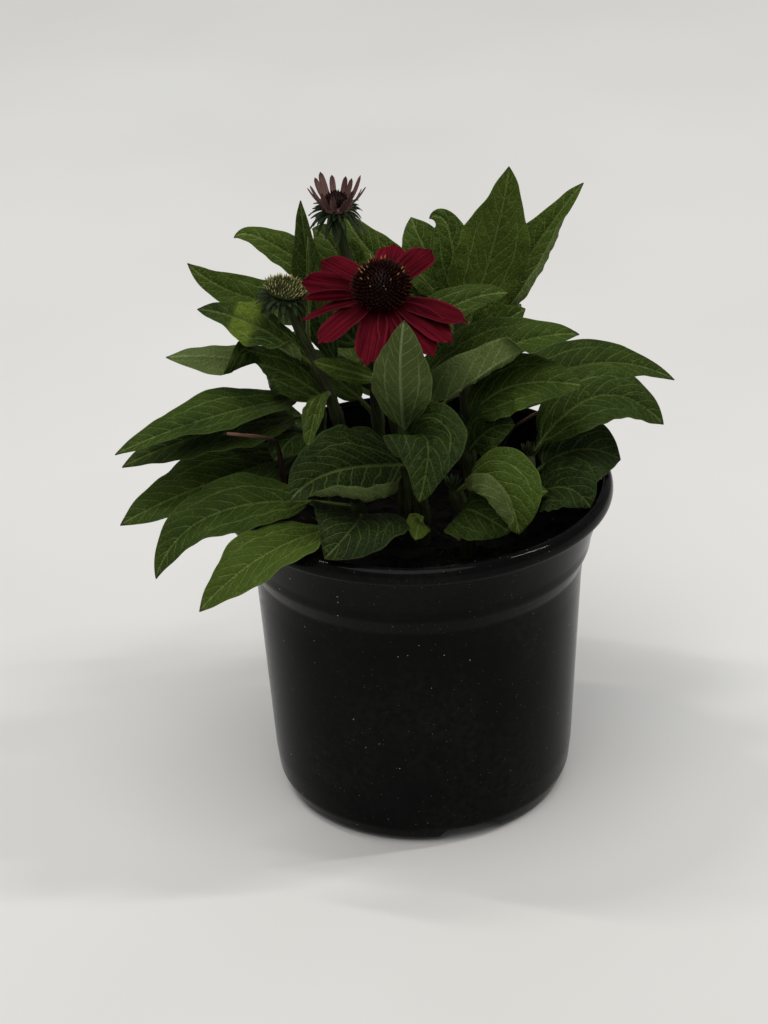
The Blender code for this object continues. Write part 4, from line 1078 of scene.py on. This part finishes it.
# Dry stalks, with torn ends
dryStalks = {
    "dry_stalk_left": [(-60, -14, 112), (-60, -14, 150), (-62, -22, 186), (-66, -28, 194), (-84, -34, 200)],
    "dry_stalk_right": [(38, 14, 112), (38, 14, 150), (42, 12, 170), (50, 8, 180), (61, 6, 188)],
}
for name, path in dryStalks.items():
    basket = newBasket()
    chance = random.Random(name)
    line = curvedLine(path, 40)
    for step in range(3):
        line[1:-1] = line[1:-1] * 0.5 + (line[:-2] + line[2:]) * 0.25
    radii = 1.5 - 0.8 * smooth(np.linspace(-0.4, 1, 41)) + 0.22 * grain(line, 0.45)
    points, faces, at, t = tubeShape(line, radii, 14, 5, 0.1)
    drop(basket, points, faces, 0, at, marked(t, 0.6))
    end = unit(line[-1] - line[-3])
    for k in range(7):
        way = end + np.array([chance.uniform(-0.25, 0.25) for _ in range(3)])
        spike(basket, line[-1] - end * 1.2, way, chance.uniform(1.5, 3.2), 0.6, 0, 0.9, 4, 0.0, 2)
    makePiece(name + "_bark", basket, [grown["stalkBrown"]], [name])

# Pot, with its foot notched and its floor drained. The lip is glossier than the rest and carries more light
# grey streaks, painted highlight as well as scratches.
potMake = {
    "sides": 180, "foot": 9.0, "boss": 16.0, "lipFrom": 150.5, "sharp": 40, "notches": 4, "notchWidth": 34.0,
    "notchTurn": -73, "drains": 6, "drain": 4.5, "drainRing": 36, "drainTurn": 34,
}
potProfile = [
    (0, 0), (potMake["boss"], 0), (potMake["boss"] + 1, 9), (55, 9), (56.5, 0), (63.5, 0), (67.5, 2.6),
    (70.2, 9), (71.4, 20), (76.2, 108), (77.2, 118.5), (80.4, 126), (81.2, 131), (86.4, 149.6),
    (90.2, 150.2), (91, 151.6), (91, 153.8), (90.3, 156.2), (88.8, 157.6), (87, 158), (85.9, 157.2),
    (85.4, 155), (79.2, 131.5), (78.2, 126.5), (75, 119), (74, 108), (69.4, 20), (66, 11.2), (0, 11.2),
]
boxSides = [(0, 1, 3, 2), (2, 3, 5, 4), (4, 5, 7, 6), (6, 7, 1, 0), (0, 2, 4, 6), (1, 7, 5, 3)]


def cutFrom(piece, points, faces):
    mesh = bpy.data.meshes.new("cutter")
    mesh.from_pydata((np.asarray(points) * mm).tolist(), [], faces)
    cutter = link("cutter", mesh)
    cut = piece.modifiers.new("Cut", "BOOLEAN")
    cut.operation, cut.object, cut.solver = "DIFFERENCE", cutter, "EXACT"
    made = bpy.data.meshes.new_from_object(piece.evaluated_get(bpy.context.evaluated_depsgraph_get()))
    piece.modifiers.clear()
    piece.data = made
    bpy.data.objects.remove(cutter)


basket = newBasket()
points, faces = lathe(rounded(potProfile, 1.3), potMake["sides"])
around = np.arctan2(points[:, 0], -points[:, 1]) * 80
drop(basket, points, faces, 0, np.stack([around, points[:, 2], around * 0], 1), (0, 0, 0))
basket["kinds"] = [int(points[list(face), 2].mean() > potMake["lipFrom"]) for face in faces]
pot = makePiece("pot_shell", basket, [potPlastic, lipPlastic], ["pot"], potMake["sharp"])
notchTop = potMake["foot"] - 1
for k in range(potMake["notches"]):
    box = []
    for x, w, z in [(52, 0.5, -1), (76, 0.5, -1), (76, 0.34, notchTop), (52, 0.34, notchTop)]:
        box += [(x, -w * potMake["notchWidth"], z), (x, w * potMake["notchWidth"], z)]
    cutFrom(pot, turned(box, potMake["notchTurn"] + 360 / potMake["notches"] * k), boxSides)
for k in range(potMake["drains"]):
    turn = math.radians(potMake["drainTurn"] + 360 / potMake["drains"] * k)
    points, faces = lathe([(0, 2), (potMake["drain"], 2), (potMake["drain"], 20), (0, 20)], 24)
    cutFrom(pot, points + potMake["drainRing"] * np.array([math.cos(turn), math.sin(turn), 0]), faces)
pot.data.polygons.foreach_set("use_smooth", [True] * len(pot.data.polygons))
pot.data.set_sharp_from_angle(angle=math.radians(potMake["sharp"]))

# Soil: a lumpy top, lower towards the pot, with crumbs and bits of root on it.
# lumps: how high, how close together, and where in the noise.
soilMake = {
    "top": 134.0, "radius": 78.0, "rings": 44, "spokes": 120, "edgeFall": 3.5, "crumbs": 620,
    "crumbReach": 75.5, "fibres": 60, "fibreReach": 68,
    "lumps": [(1.6, 0.09, 0), (0.9, 0.28, 4), (0.5, 0.7, 9)],
}


def soilLumps(places, radius):
    lumps = sum(high * grain(places, close, seed) for high, close, seed in soilMake["lumps"])
    return lumps + (1.0 - soilMake["edgeFall"] * smooth((radius - 55) / 22))


def scatter(reach, chance):
    # a random place on the soil
    turn, far = chance.uniform(0, 2 * math.pi), reach * math.sqrt(chance.random())
    place = np.array([far * math.cos(turn), far * math.sin(turn), soilMake["top"]])
    return place + up * soilLumps(place[None], far)


chance = random.Random(5)
basket = newBasket()
sideProfile = [(0, 11.7), (65.2, 11.7), (68.8, 20), (73.4, 108), (74.4, 119.2), (77.6, 126.7), (78.4, 130.5)]
topShares = np.arange(1, soilMake["rings"] + 1) / soilMake["rings"]
topProfile = [(soilMake["radius"] * (1 - share), soilMake["top"]) for share in topShares]
points, faces = lathe(sideProfile + topProfile, soilMake["spokes"])
onTop = points[:, 2] > soilMake["top"] - 1
points[:, 2] += np.where(onTop, soilLumps(points, np.hypot(points[:, 0], points[:, 1])), 0)
drop(basket, points, faces, 0, (0, 0, 0), (0, 0, 0))
ball = bmesh.new()
bmesh.ops.create_icosphere(ball, subdivisions=1, radius=1.0)
crumb = np.array([v.co[:] for v in ball.verts])
crumbFaces = [tuple(v.index for v in f.verts) for f in ball.faces]
ball.free()
for k in range(soilMake["crumbs"]):
    place = scatter(soilMake["crumbReach"], chance)
    size = chance.uniform(0.5, 1.9) if k % 9 else chance.uniform(1.8, 3.2)
    stretch = np.array([chance.uniform(0.7, 1.3), chance.uniform(0.6, 1.1), chance.uniform(0.45, 0.9)]) * size
    rough = 1 + 0.3 * grain(crumb, 1.1, k)
    shape = turned(crumb * rough[:, None] * stretch, chance.uniform(0, 360))
    pale = 0.9 if k % 41 == 0 else chance.uniform(0, 0.25) ** 2
    drop(basket, shape + place + up * 0.2 * size, crumbFaces, 0, (0, 0, 0), (pale, 0, 0))
for k in range(soilMake["fibres"]):
    place = scatter(soilMake["fibreReach"], chance) + up * 0.5
    way = np.array([math.cos(k * 2.1), math.sin(k * 2.1), chance.uniform(-0.05, 0.15)])
    length, width, tint = chance.uniform(4, 11), chance.uniform(0.4, 0.8), chance.uniform(0.2, 0.6)
    spike(basket, place, way, length, width, 0, tint, 4, 0.6, 4)
makePiece("soil_surface", basket, [soilCrumb], ["soil"], 50)
print("stage: pot and soil")

# Floor, wide enough to have no edge in view
floorReach = 12000
mesh = bpy.data.meshes.new("floor")
points, faces = lathe([(floorReach, 0), (0, 0)], 64)
mesh.from_pydata((points * mm).tolist(), [], faces)
mesh.materials.append(floorPale)
floor = link("floor", mesh)
